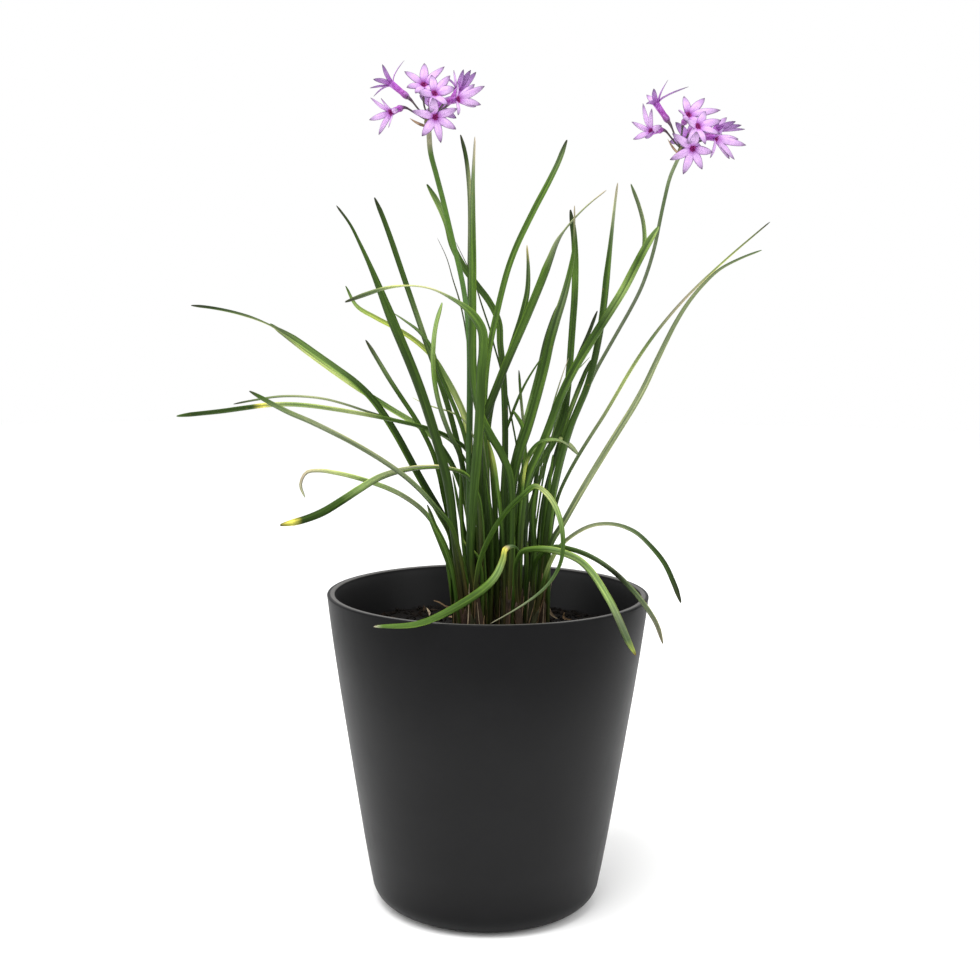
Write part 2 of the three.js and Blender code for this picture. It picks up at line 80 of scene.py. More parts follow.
# Potting mix.
MIX_CROWN_RISE = 3.5 * MM
MIX_CROWN_RADIUS = 60 * MM
MIX_RINGS = 56
MIX_SIDES = 144
MIX_DEPTH = 24 * MM
CRUMBS = 1500
BARK_CHIPS = 150

# Leaves.
LEAF_STEP = 2.2 * MM
UPPER_POINTS = 9
LOWER_POINTS = 7
LEAF_THICKNESS = 0.5 * MM
LEAF_FOLD = 0.3
UPPER_SHARE = 0.36
RIBBON_POINTS = 7
THIN_LEAF_TURN = 0.35
USUAL_TIP = 1.6 * MM
ROOT_NARROWING = 0.76
ROOT_NARROWING_END = 0.35
BLUNTNESS = 4.5
BLUNT_END = [(0.88, 1), (1, 0.8)]
# Painted light and shade for the other leaves: the half of the blade that faces right is painted brighter.
USUAL_PAINTED_LIGHT_SIDE = (1, 0, 0.4, 0.5)
SHOOTS = 30
SHEATH_SIDES = 16
SHEATH_STEPS = 9
STANDING_STRIPS = 100
STRIP_POINTS = 10
LYING_SCRAPS = 26
SCRAP_POINTS = 9
BURIED = 5 * MM
ROOT_REACH = 40 * MM

# Flowers.
TEPAL_LENGTH = 12 * MM
TEPAL_HALF_WIDTH = 2.15 * MM
HALF_OPEN_FLORET = 6
HALF_OPEN_RISE = 8 * MM
OPEN_RISE = 3 * MM
HUB_RISE = 3.6 * MM
STALK_SIDES = 20
STALKLET_SIDES = 12
TUBE_SIDES = 24
LOBE_SIDES = 8
THROAT_DEPTH = 3 * MM
LOBE_TURNS = (0.5, 2.6, 4.7)

# Radii in millimetres: of the floret's stalk and tube, each after the places along it, of a lobe in the
# throat and of the knob under an umbel.
STALKLET_RADII = ([0, 0.2, 0.75, 1], [0.45, 0.4, 0.48, 1.0])
TUBE_RADII = ([-0.04, 0.0, 0.16, 0.34, 0.75, 1], [0.9, 1.3, 1.65, 1.35, 1.5, 1.6])
LOBE_RADII = [0.25, 0.34, 0.38, 0.34, 0.25, 0.1]
KNOB_RADII = [1.0, 1.15, 1.3, 1.5, 1.7, 1.85, 1.95, 1.95, 1.85, 1.55, 1.1, 0.4]

# Where the tips of each floret's tepals show, in millimetres across and up from the top of the stem, and
# whether the tip is in front of the flower's mouth (-1), behind it (1) or either (0).
TEPAL_TIPS = {
    1: [(-19.7, 27.5, -1), (-9.2, 28.5, 1), (-24.5, 21, -1), (-26.5, 17, 1), (-25, 13, -1), (-16.7, 20.8, 1)],
    2: [(-26.5, 12.5, 1), (-21.5, 12, -1), (-28, 2.3, 1), (-24, -5, 0), (-19, -2, -1), (-13.8, 6.5, -1)],
    3: [(-9.5, 23.5, 0), (-9, 16, -1), (0.2, 26.6, 1), (9.6, 24.4, 0), (-5, 13, -1), (6, 12.8, -1)],
    4: [(3.2, 21, 0), (12, 20, 1), (14, 14, 0), (9.5, 6.5, -1), (1.5, 3.5, -1), (-3.5, 13, -1)],
    5: [(23.2, 4.8, 0), (23.3, 15.2, 0), (25.6, 5.5, 1), (28, 14, 1), (14.3, 1.5, -1), (15, 17, -1)],
    6: [(13.9, 22.4, 1), (18.6, 22.4, -1), (22, 21.9, -1), (24.4, 20.8, 1), (15.4, 13.2, 1), (9.5, 19.5, -1)],
    7: [(14.3, 4.5, -1), (13, -5, -1), (5.3, -10.8, -1), (-3.5, -7, -1), (-7.5, 5, -1), (3, 10.5, -1)],
}

# How far the mouth of a floret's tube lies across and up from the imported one, in millimetres.
MOUTH_SHIFTS = {2: (1.2, -1.8), 3: (1.2, -1.2), 4: (0.6, -2.2), 5: (0.6, -1.6), 7: (0.6, -1.8)}

# How broad the tepals of a floret look, as a part of the usual, where they are seen nearly on edge.
TEPAL_BREADTHS = {1: 0.62, 2: 0.72, 5: 0.9, 6: 0.75}

# Papery bracts under each umbel: three places across, back and up from the top of the stem, and the width,
# in millimetres.
BRACTS = [
    (((-1.2, -0.6, -2.4), (-4.5, -1.2, -1.4), (-8.6, -1.0, 1.6)), 2.6),
    (((1.2, 0.8, -2.6), (3.4, 2.2, -1.6), (6.2, 3.2, 1.8)), 2.2),
    (((-0.8, -1.2, -2.8), (-2.6, -1.6, -3.4), (-2.9, -1.5, -5.6)), 1.6),
]

# Colours of each stem from its root up.
SCAPE_STOPS = {
    "left": [(0, "#4a5830"), (0.25, "#36521c"), (0.52, "#304c1e"), (0.64, "#4a6a34"), (0.8, "#46661f"),
             (0.95, "#3e5a20"), (0.97, "#7a7a60"), (1, "#8c8874")],
    "right": [(0, "#3c4a1c"), (0.3, "#33501c"), (0.45, "#4a5a34"), (0.7, "#545c48"), (0.92, "#4c5c3a"),
              (1, "#7c8a66")],
}

# Colours of the leaves. The tones along each leaf are partly its own colour and partly painted light and shade:
# darker low in the clump and where other leaves shade it, paler where it is lit.
TONES = {
    "dark": "#20340e",
    "mid": "#2b4314",
    "green": "#36501b",
    "fresh": "#446024",
    "light": "#69824a",
    "grey": "#4c5e3e",
    "sage": "#5e6a50",
    "lime": "#7b8b42",
    "yellow": "#c0bd54",
    "pale": "#8c9b63",
    "ash": "#7c8669",
    "straw": "#a1966a",
    "dry": "#8d8778",
    "brown": "#59401f",
    "soot": "#23271b",
    "base": "#2d2b16",
    "foot": "#2a2014",
}

# Tones of each leaf, and how far along it from the root they lie, in hundredths. They hold painted shade and
# painted light as well as the leaf's own colour.
LEAF_COLOURS = {
    "leaf_left_1": "base 10 dark 25 dark 65 mid 78 mid 88 dark 95 soot 100",
    "leaf_left_2": "base 10 dark 30 mid 45 green 60 grey 70 green 80 mid 95 soot 100",
    "leaf_left_3": "base 15 mid 35 green 60 green 70 mid 80 grey 90 soot 100",
    "leaf_left_4": "base 10 dark 25 mid 35 green 50 fresh 57 light 64 light 74 sage 79 ash 83 grey 90 "
                   "dark 95 soot 100",
    "leaf_left_5": "base 10 mid 30 green 48 light 54 light 60 fresh 66 pale 75 pale 86 sage 94 grey 100",
    "leaf_left_6": "base 10 dark 22 mid 45 green 58 pale 64 light 76 pale 81 yellow 82.5 mid 84.5 "
                   "dark 97 green 100",
    "leaf_left_7": "base 10 mid 30 mid 45 light 54 sage 65 ash 80 grey 93 soot 100",
    "leaf_left_8": "base 15 mid 35 grey 45 sage 60 sage 80 grey 90 mid 97 soot 100",
    "leaf_left_9": "base 15 dark 40 mid 47 ash 53 sage 66 light 76 mid 82 dark 94 yellow 97 soot 100",
    "leaf_left_10": "base 15 dark 30 grey 42 sage 55 light 70 pale 82 dry 93 ash 100",
    "leaf_left_11": "base 30 dark 60 mid 85 soot 100",
    "leaf_left_12": "base 12 mid 28 green 42 pale 48 pale 58 light 66 lime 75 lime 88 light 95 green 100",
    "leaf_left_13": "base 12 dark 30 dark 55 grey 68 fresh 78 light 90 light 100",
    "leaf_left_14": "base 10 dark 20 mid 35 mid 62 green 68 fresh 73 grey 78 ash 82 pale 89 grey 93 "
                    "soot 100",
    "leaf_left_15": "base 8 dark 25 mid 50 dark 57 fresh 64 mid 75 fresh 87 light 94 mid 100",
    "leaf_centre_1": "base 8 mid 25 mid 50 green 66 grey 72 ash 80 ash 88 dark 95 soot 100",
    "leaf_centre_2": "base 8 dark 20 mid 40 mid 65 green 80 grey 93 dry 100",
    "leaf_centre_3": "base 10 dark 30 mid 45 green 65 green 85 fresh 93 green 100",
    "leaf_centre_4": "base 10 mid 25 mid 60 mid 75 sage 84 green 92 dark 100",
    "leaf_centre_5": "base 10 dark 25 mid 55 light 64 green 70 mid 78 dark 84 dark 100",
    "leaf_right_1": "foot 8 mid 20 green 35 fresh 50 fresh 65 fresh 90 grey 97 soot 100",
    "leaf_right_2": "base 8 mid 20 green 45 dark 55 dark 68 mid 76 green 85 grey 95 straw 100",
    "leaf_right_3": "base 10 dark 25 dark 50 dark 58 green 66 green 80 sage 86 ash 95 dry 100",
    "leaf_right_4": "base 10 mid 25 mid 40 dark 54 mid 64 mid 78 fresh 84 green 90 dark 96 soot 100",
    "leaf_right_5": "base 8 dark 25 mid 40 green 60 mid 70 grey 80 fresh 86 green 92 dry 100",
    "leaf_right_6": "base 10 dark 25 mid 40 mid 55 dark 66 mid 76 green 84 grey 90 ash 95 dry 100",
    "leaf_right_7": "base 10 mid 25 green 40 mid 56 fresh 66 fresh 75 light 82 light 88 sage 93 grey 100",
    "leaf_right_8": "base 10 mid 30 green 44 mid 55 green 66 mid 76 light 84 green 92 light 100",
    "leaf_right_9": "base 10 green 22 grey 44 green 55 mid 72 dark 90 soot 100",
    "leaf_right_10": "base 10 mid 30 green 42 mid 66 fresh 76 light 84 mid 91 dark 100",
    "leaf_right_11": "base 10 mid 22 grey 32 sage 45 pale 55 grey 65 dry 76 pale 86 soot 100",
    "leaf_right_12": "base 10 mid 20 sage 28 ash 36 ash 60 sage 75 sage 88 grey 100",
    "leaf_right_13": "base 15 mid 35 mid 55 green 66 light 76 sage 82 pale 90 ash 100",
    "leaf_drooping_1": "base 15 mid 22 pale 34 ash 44 sage 58 grey 66 mid 78 dark 88 soot 100",
    "leaf_drooping_2": "base 15 dark 28 mid 35 green 45 grey 60 soot 68 grey 78 sage 86 dry 100",
    "leaf_drooping_3": "base 15 dark 30 mid 36 fresh 43 light 52 light 78 sage 87 grey 94 lime 98 "
                       "brown 100",
    "leaf_drooping_4": "base 15 mid 24 mid 34 grey 37 straw 38.3 yellow 39.2 lime 42.5 light 48 fresh 58 "
                       "green 66 green 76 fresh 88 fresh 97.5 ash 99 dry 100",
    "leaf_drooping_5": "base 15 green 24 mid 32 mid 47 fresh 51 pale 55 light 62 green 69 mid 76 grey 86 "
                       "ash 93 dry 100",
}

# Width of the leaves that narrow before their tips: places from root to tip and the part of the width there.
SLENDER_ENDS = {
    "leaf_left_1": [(0.74, 1), (0.8, 0.74), (0.86, 0.48), (0.92, 0.32), (1, 0.22)],
    "leaf_left_4": [(0.76, 1), (0.8, 0.55), (0.815, 0.3), (0.83, 0.3), (0.87, 0.45), (1, 0.5)],
    "leaf_left_14": [(0.72, 1), (0.76, 0.6), (0.8, 0.35), (0.87, 0.3), (0.9, 0.6), (0.94, 0.8), (1, 0.8)],
    "leaf_right_3": [(0.8, 1), (0.86, 0.55), (0.885, 0.25), (1, 0.15)],
    "leaf_right_5": [(0.72, 1), (0.8, 0.8), (0.88, 0.5), (0.93, 0.22), (1, 0.15)],
    "leaf_right_6": [(0.8, 1), (0.87, 0.65), (0.92, 0.45), (1, 0.3)],
    "leaf_left_10": [(0.6, 1), (0.8, 0.85), (1, 0.45)],
    "leaf_centre_2": [(0.75, 1), (0.88, 0.75), (0.95, 0.45), (1, 0.25)],
    "leaf_right_11": [(0.6, 1), (0.8, 0.7), (1, 0.4)],
    "leaf_right_12": [(0.6, 1), (0.8, 0.7), (1, 0.35)],
    "leaf_right_2": [(0.85, 1), (0.93, 0.7), (1, 0.25)],
    "leaf_drooping_3": [(0, 0.55), (0.3, 0.6), (0.4, 0.8), (0.5, 1), (0.9, 1), (1, 0.8)],
    "leaf_drooping_4": [(0, 0.5), (0.3, 0.4), (0.36, 0.55), (0.45, 0.8), (0.6, 1), (0.72, 0.92), (0.85, 0.72),
                        (0.94, 0.52), (1, 0.3)],
    "leaf_left_12": [(0.6, 1), (0.75, 0.8), (0.92, 0.7), (1, 0.35)],
    "leaf_drooping_5": [(0, 0.9), (0.6, 1), (0.7, 0.8), (0.78, 0.6), (0.87, 0.45), (0.94, 0.25), (1, 0.15)],
}

# Painted light and shade on a folded leaf: one part of its width is painted brighter and the rest darker, as
# if lit from one side. For each leaf: the way the lit part faces across and up, how far it differs from the
# rest, and its share of the width.
PAINTED_LIGHT_SIDES = {
    "leaf_left_4": (0, -1, 1.3, 0.34),
    "leaf_left_5": (0, -1, 0.7, 0.5),
    "leaf_left_6": (0, -1, 0.5, 0.5),
    "leaf_left_12": (0, -1, 0.5, 0.5),
    "leaf_left_15": (-1, 0, 0.5, 0.5),
    "leaf_right_3": (-1, 0, 0.4, 0.5),
    "leaf_right_5": (1, 0, 0.7, 0.5),
    "leaf_right_8": (1, 0, 0.8, 0.5),
    "leaf_centre_1": (1, 0, 0.7, 0.5),
    "leaf_drooping_4": (0, -1, 0.2, 0.5),
}

# Thin leaves seen from the front: the width, the depths of root and tip behind the pot's axis, the turn of
# the blade on its own line, the colours, and places across and up, tip first, in millimetres.
THIN_LEAVES = [
    (0.9, (4, -12), 0.5, "dark 20 grey 50 soot 100",
     [(-26, 331), (-21.5, 321.6), (-18.2, 310.6), (-15.4, 302), (-13, 292), (-11, 280), (-7, 258), (-3, 232),
      (1, 200), (3, 168), (3.5, 138)]),
    (1.1, (9, 22), 0.6, "dark 20 mid 60 soot 100",
     [(-17, 329), (-13.3, 321.6), (-10, 315), (-6.5, 306), (-4.6, 300), (-2.4, 293.5), (0, 286.5), (2, 279),
      (4.7, 270), (6.3, 264), (8, 257), (9.8, 248.5), (11.6, 240), (13.2, 231.6), (15, 200), (15.5, 168),
      (15, 138)]),
    (1.0, (-6, 14), 0.4, "dark 20 mid 60 grey 100",
     [(49, 274.2), (45.1, 270), (41.7, 266.6), (38, 259), (33, 243), (27.5, 218), (23, 186), (20, 160),
      (19, 138)]),
    (1.7, (5, 20), 0.5, "dark 20 mid 70 green 100",
     [(27.5, 276.6), (23.1, 270.3), (17.5, 261), (12.9, 250.8), (9.9, 242.6), (8.6, 239), (7, 220), (6, 190),
      (6, 160), (6.5, 138)]),
    (2.3, (-8, 16), 0.3, "dark 20 mid 60 mid 85 grey 100",
     [(-47, 294.5), (-41, 290.5), (-35, 286), (-29.5, 279), (-25, 266.5), (-19.5, 254), (-13.5, 239),
      (-8, 212), (-4, 176), (-2, 138)]),
    (0.9, (2, 12), 0.2, "dark 20 mid 60 sage 75 pale 100",
     [(-38, 253.5), (-33, 251), (-26, 248.5), (-19, 246.5), (-13, 243), (-8, 235), (-5, 215), (-3, 180),
      (-2.5, 138)]),
    (2.2, (-11, -16), 0.2, "base 10 dark 50 green 66 fresh 82 lime 92 fresh 100",
     [(0, 232), (1.8, 225), (4.5, 207), (6.6, 190), (8, 170), (8.5, 138)]),
    (1.7, (-9, -26), 0.2, "base 10 dark 45 green 62 lime 66 lime 70 mid 75 green 82 light 87 sage 94 "
                          "grey 100",
     [(44.1, 225.3), (40, 229.9), (35, 232.9), (30, 233.4), (25.5, 232.4), (21.5, 229), (18.5, 222),
      (16.5, 208), (15, 188), (14, 160), (13.5, 138)]),
    (0.8, (2, 12), 0.3, "dark 20 mid 60 grey 85 dry 100",
     [(38.5, 273.5), (36.5, 268), (34.6, 262), (31, 249.7), (28.5, 238), (26, 222), (23.5, 200), (21, 170),
      (20, 138)]),
]

# Leaves that close the middle of the clump, seen from the front: the width, the depths of root and tip behind
# the pot's axis, the colours, and places across and up, tip first, in millimetres.
THICKET = [
    (2.6, (-6, -12), "base 10 mid 40 green 80 fresh 100",
     [(-31, 197), (-27.5, 189), (-23.5, 180), (-20, 171), (-15.5, 158), (-12, 145), (-11, 137)]),
    (2.6, (6, 12), "base 10 mid 45 green 100",
     [(-13.8, 224), (-14, 212), (-13.8, 200), (-13, 188), (-11.8, 176), (-9.5, 162), (-7, 148), (-6, 137)]),
    (3.0, (2, 6), "base 10 mid 45 green 80 lime 100",
     [(-0.8, 233), (0.8, 222), (2, 212), (3, 200), (3.6, 188), (4, 176), (4.2, 160), (4.5, 137)]),
    (2.6, (8, 12), "base 10 mid 45 green 100",
     [(3.5, 213), (5, 207), (6.3, 198), (6.8, 186), (6.4, 174), (6, 160), (6, 137)]),
    (2.4, (-3, -5), "base 10 mid 45 green 100",
     [(-1.5, 214), (-0.5, 206), (0.8, 198), (1.6, 186), (1.8, 172), (1.5, 155), (1.5, 137)]),
    (3.2, (-2, 2), "base 10 mid 45 green 80 fresh 100",
     [(24.5, 212), (22.8, 205), (22, 196), (22.3, 186), (22.8, 176), (22.5, 160), (21.5, 137)]),
    (3.4, (3, 10), "base 10 mid 45 green 100",
     [(31.5, 226), (30, 213), (28.5, 203), (27.4, 192), (27, 182), (26.6, 172), (25.5, 158), (24.5, 137)]),
    (2.6, (8, 14), "base 10 mid 45 green 100",
     [(16, 214), (16.8, 204), (17.2, 195), (18, 186), (18.8, 176), (18.5, 160), (18, 137)]),
    (2.2, (-6, -9), "base 10 mid 45 green 80 fresh 100",
     [(11.5, 206), (12.6, 194), (14, 186), (15.5, 178), (16, 166), (15.5, 150), (15.5, 137)]),
    (2.0, (-13, -19), "base 10 mid 45 green 80 lime 90 fresh 100",
     [(-13, 184), (-10.5, 179.5), (-8, 177.5), (-5.5, 174.5), (-3.8, 169), (-3, 160), (-3, 137)]),
    (2.8, (14, 22), "base 10 dark 50 mid 100",
     [(-18, 216), (-15, 200), (-12, 186), (-9, 170), (-6, 152), (-5, 137)]),
    (2.8, (16, 20), "base 10 dark 50 mid 100",
     [(10, 222), (9.5, 205), (9.5, 188), (9.5, 170), (9.5, 152), (9.5, 137)]),
    (2.8, (18, 24), "base 10 dark 50 mid 100",
     [(33, 214), (30, 200), (27, 186), (24, 170), (21.5, 152), (20.5, 137)]),
    (2.4, (16, 20), "base 10 dark 50 mid 100",
     [(0, 208), (-1, 196), (-1.5, 184), (-1.5, 168), (-1, 152), (0, 137)]),
]

# Pale curled scraps on the mix seen from the front: depth behind the pot's axis, width, which paper, and
# three places across and up, in millimetres.
CURLED_SCRAPS = [
    (5, 1.6, 2, ((18, 150.5), (18.6, 145), (24, 142.5))),
    (24, 1.6, 2, ((30, 151), (30.2, 145.5), (35, 143.5))),
    (32, 1.4, 1, ((38.5, 146.5), (36, 143), (42, 143))),
    (-2, 1.2, 1, ((11, 148), (14, 145), (13, 141))),
    (12, 0.8, 1, ((-27, 152), (-23.5, 151.5), (-19, 147.5))),
    (6, 0.8, 1, ((-22, 149.5), (-17, 149), (-13, 144))),
]


def linear(text):
    """A colour written as #rrggbb, as the linear red, green, blue and alpha that a shader takes."""
    shares = [int(text[i : i + 2], 16) / 255 for i in (1, 3, 5)]
    return tuple(s / 12.92 if s <= 0.04045 else ((s + 0.055) / 1.055) ** 2.4 for s in shares) + (1.0,)


def unit(vectors):
    """The same vector, or rows of vectors, at length 1."""
    vectors = np.asarray(vectors, float)
    return vectors / np.linalg.norm(vectors, axis=-1, keepdims=True)


def circle(sides):
    """That many equal angles round a circle."""
    return np.linspace(0, 2 * math.pi, sides, endpoint=False)


def hoop(radius, height, sides):
    """Points of a level circle round the pot's axis."""
    return [(radius * math.cos(a), radius * math.sin(a), height) for a in circle(sides)]


def turned(side, top, angle):
    """Two directions across a leaf or petal, turned about its line."""
    cosine, sine = np.cos(angle), np.sin(angle)
    return side * cosine + top * sine, top * cosine - side * sine


def along_sight(point, depth):
    """The place at that depth on the line of sight through the point."""
    eye = np.array(EYE)
    point = np.asarray(point, float)
    return eye + (point - eye) * (depth - eye[1]) / (point[1] - eye[1])


# Meshes.


class Shape:
    """The points, faces, map places and material numbers of one piece while it is put together."""

    def __init__(self):
        self.points = []
        self.faces = []
        self.places = []
        self.numbers = []

    def face(self, corners, places, number):
        self.faces.append(corners)
        self.places.extend(places)
        self.numbers.append(number)

    def grid(self, rows, across, along, number=0, capped=(True, True)):
        """Joins rings of points by quads. across and along are the map places of the columns and the rows."""
        first = len(self.points)
        rows = np.asarray(rows, float)
        count, width = rows.shape[:2]
        self.points.extend(map(tuple, rows.reshape(-1, 3)))
        for i in range(count - 1):
            for j in range(width):
                quad = ((i, j), (i, j + 1), (i + 1, j + 1), (i + 1, j))
                corners = [first + row * width + column % width for row, column in quad]
                self.face(corners, [(across[column], along[row]) for row, column in quad], number)
        for row, wanted in ((0, capped[0]), (count - 1, capped[1])):
            if wanted:
                self.cap(rows[row], first + row * width, along[row], across, number)

    def cap(self, row, first, height, across, number):
        middle = len(self.points)
        self.points.append(tuple(row.mean(axis=0)))
        for j in range(len(row)):
            corners = (first + j, first + (j + 1) % len(row), middle)
            places = ((across[j], height), (across[j + 1], height), (across[j], height))
            self.face(corners, places, number)

    def piece(self, name, materials, smooth=True):
        """The finished piece. It rides on the pot's body."""
        mesh = bpy.data.meshes.new(name)
        mesh.from_pydata(self.points, [], self.faces)
        layer = mesh.uv_layers.new(name="map")
        layer.data.foreach_set("uv", np.array(self.places, np.float32).ravel())
        for material in materials:
            mesh.materials.append(material)
        mesh.polygons.foreach_set("material_index", self.numbers)
        work = bmesh.new()
        work.from_mesh(mesh)
        bmesh.ops.recalc_face_normals(work, faces=work.faces)
        work.to_mesh(mesh)
        work.free()
        mesh.polygons.foreach_set("use_smooth", [smooth] * len(mesh.polygons))
        thing = bpy.data.objects.new(name, mesh)
        bpy.context.scene.collection.objects.link(thing)
        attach(thing, ROOT_BODY)
        return thing


def spline(knots, values, at):
    """Values at the places `at` of a smooth curve through the values at the knots."""
    values = np.asarray(values, float)
    slopes = np.gradient(values, knots, axis=0)
    i = np.clip(np.searchsorted(knots, at, side="right") - 1, 0, len(knots) - 2)
    step = knots[i + 1] - knots[i]
    t = (at - knots[i]) / step
    if values.ndim > 1:
        step = step[:, None]
        t = t[:, None]
    return (
        (2 * t**3 - 3 * t**2 + 1) * values[i]
        + (t**3 - 2 * t**2 + t) * step * slopes[i]
        + (3 * t**2 - 2 * t**3) * values[i + 1]
        + (t**3 - t**2) * step * slopes[i + 1]
    )


def distances(points):
    """The way along a line of points, from its first."""
    return np.concatenate([[0], np.cumsum(np.linalg.norm(np.diff(points, axis=0), axis=1))])


def corners_and_links(node):
    """The separate corners of a CAD node, and for each the corners that an edge joins it to."""
    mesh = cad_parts[node].data
    numbers = {}
    index = [numbers.setdefault(tuple(round(x, 6) for x in v.co), len(numbers)) for v in mesh.vertices]
    links = [set() for _ in numbers]
    for polygon in mesh.polygons:
        for a, b in itertools.permutations([index[v] for v in polygon.vertices], 2):
            links[a].add(b)
    return np.array(list(numbers)), links


def rings_from(node, start, width):
    """The rings of a lofted CAD node, in order, from the ring of `width` corners nearest to `start`."""
    corners, links = corners_and_links(node)
    order = np.argsort(np.linalg.norm(corners - np.asarray(start), axis=1))
    ring = [int(i) for i in order[:width]]
    seen = set(ring)
    rings = []
    while ring:
        rings.append(corners[ring])
        ring = sorted({j for i in ring for j in links[i]} - seen)
        seen.update(ring)
    return rings


def lowest_near_axis(node):
    """The lowest corner of a CAD node that is above the middle of the pot."""
    corners, _ = corners_and_links(node)
    near = corners[np.hypot(corners[:, 0], corners[:, 1]) < ROOT_REACH]
    return near[np.argmin(near[:, 2])]


def matched(ring, last):
    """The ring's corners in the order of the last ring's."""
    shape = ring - ring.mean(axis=0)
    goal = last - last.mean(axis=0)
    best = min(itertools.permutations(range(len(ring))), key=lambda p: np.sum((shape[list(p)] - goal) ** 2))
    return ring[list(best)]


def leaf_frames(node):
    """Middle, breadth, upper side and half width of a CAD leaf at each of its rings, root first."""
    rings = rings_from(node, lowest_near_axis(node), 4)
    middle = len(rings) // 2
    ordered = {middle: around(rings[middle])}
    for i in range(middle + 1, len(rings)):
        ordered[i] = matched(rings[i], ordered[i - 1])
    for i in range(middle - 1, -1, -1):
        ordered[i] = matched(rings[i], ordered[i + 1])
    stack = np.array([ordered[i] for i in range(len(rings))])
    spans = np.linalg.norm(stack[:, :2] - stack[:, 2:], axis=2)
    if spans[:, 1].sum() > spans[:, 0].sum():
        stack = np.roll(stack, -1, axis=1)
    centre = (stack[:, 0] + stack[:, 2]) / 2
    sides = np.linalg.norm(stack[:, [1, 3]] - centre[:, None], axis=2).sum(axis=0)
    upper = stack[:, 1] - stack[:, 3] if sides[0] < sides[1] else stack[:, 3] - stack[:, 1]
    breadth = stack[:, 0] - stack[:, 2]
    return centre, unit(breadth), unit(upper), np.linalg.norm(breadth, axis=1) / 2


def around(ring):
    """Four corners of a ring in their order round it."""
    centre = ring.mean(axis=0)
    first = ring[0] - centre
    far = max(range(1, 4), key=lambda i: -np.dot(unit(ring[i] - centre), unit(first)))
    sides = [i for i in range(1, 4) if i != far]
    return ring[[0, sides[0], far, sides[1]]]


# Materials.


def tone_stops(words):
    """Colour stops from tones and hundredths of the way along, such as "base 10 mid 40 soot 100"."""
    parts = words.split()
    return [(float(at) / 100, TONES[tone]) for tone, at in zip(parts[::2], parts[1::2])]


class Paint:
    """One procedural material while its nodes are put together."""

    def __init__(self, name, **sockets):
        self.material = bpy.data.materials.new(name)
        self.material.use_nodes = True
        self.tree = self.material.node_tree
        self.shader = self.tree.nodes["Principled BSDF"]
        for socket, value in sockets.items():
            self.shader.inputs[socket.replace("_", " ")].default_value = value

    def node(self, kind, inputs=(), **settings):
        made = self.tree.nodes.new(kind)
        for name, value in settings.items():
            setattr(made, name, value)
        for socket, value in dict(inputs).items():
            self.feed(made.inputs[socket], value)
        return made

    def feed(self, socket, value):
        if isinstance(value, bpy.types.NodeSocket):
            self.tree.links.new(value, socket)
        else:
            socket.default_value = value

    def math(self, operation, first, second=0.0, third=0.0):
        return self.node("ShaderNodeMath", {0: first, 1: second, 2: third}, operation=operation).outputs[0]

    def product(self, first, second):
        return self.math("MULTIPLY", first, second)

    def total(self, first, second, share=1.0):
        """first, and that share of second."""
        return self.math("ADD", first, self.product(second, share))

    def ribs(self, across, count):
        """That many waves between 0 and 1 across the surface."""
        wave = self.math("SINE", self.product(across, 2 * math.pi * count))
        return self.math("MULTIPLY_ADD", wave, 0.5, 0.5)

    def span(self, value, low, high, to_low=0.0, to_high=1.0):
        """Smoothly from to_low, where value is low, to to_high, where it is high."""
        inputs = {0: value, 1: low, 2: high, 3: to_low, 4: to_high}
        return self.node("ShaderNodeMapRange", inputs, interpolation_type="SMOOTHSTEP").outputs[0]

    def map(self):
        """The two map places of the surface."""
        parts = self.node("ShaderNodeSeparateXYZ", {0: self.node("ShaderNodeUVMap", uv_map="map").outputs[0]})
        return parts.outputs[0], parts.outputs[1]

    def place(self):
        """The place in space, in metres."""
        return self.node("ShaderNodeNewGeometry").outputs["Position"]

    def stretched(self, stretch, across, along, seed=0.0):
        """A place for textures that run along the surface."""
        inputs = {0: self.product(across, stretch), 1: along, 2: seed}
        return self.node("ShaderNodeCombineXYZ", inputs).outputs[0]

    def noise(self, vector, scale, detail, roughness):
        inputs = {"Vector": vector, "Scale": scale, "Detail": detail, "Roughness": roughness}
        return self.node("ShaderNodeTexNoise", inputs).outputs["Fac"]

    def cells(self, vector, scale):
        return self.node("ShaderNodeTexVoronoi", {"Vector": vector, "Scale": scale}).outputs["Distance"]

    def ramp(self, value, stops):
        made = self.node("ShaderNodeValToRGB", {0: value})
        elements = made.color_ramp.elements
        while len(elements) < len(stops):
            elements.new(1.0)
        for element, (at, colour) in zip(elements, stops):
            element.position = at
            element.color = linear(colour)
        return made.outputs[0]

    def blend(self, share, first, second):
        made = self.node("ShaderNodeMix", data_type="RGBA", blend_type="MIX")
        self.feed(made.inputs[0], share)
        for socket, colour in ((made.inputs[6], first), (made.inputs[7], second)):
            self.feed(socket, linear(colour) if isinstance(colour, str) else colour)
        return made.outputs[2]

    def times(self, colour, factors):
        return self.node("ShaderNodeVectorMath", {0: colour, 1: factors}, operation="MULTIPLY").outputs[0]

    def toned(self, share, colour, factors):
        """The colour, with that share of it multiplied by the three factors."""
        return self.blend(share, colour, self.times(colour, factors))

    def layered(self, colour, *layers):
        """The colour under layers. Each has a value, the span it shows in, and a colour or three factors."""
        for value, window, layer in layers:
            mix = self.blend if isinstance(layer, str) else self.toned
            colour = mix(self.span(value, *window), colour, layer)
        return colour

    def finish(self, colour, roughness, height=None, strength=0.0, depth=0.0):
        self.feed(self.shader.inputs["Base Color"], colour)
        self.feed(self.shader.inputs["Roughness"], roughness)
        if height is not None:
            bump = self.node("ShaderNodeBump", {"Height": height, "Strength": strength, "Distance": depth})
            self.feed(self.shader.inputs["Normal"], bump.outputs[0])
        return self.material


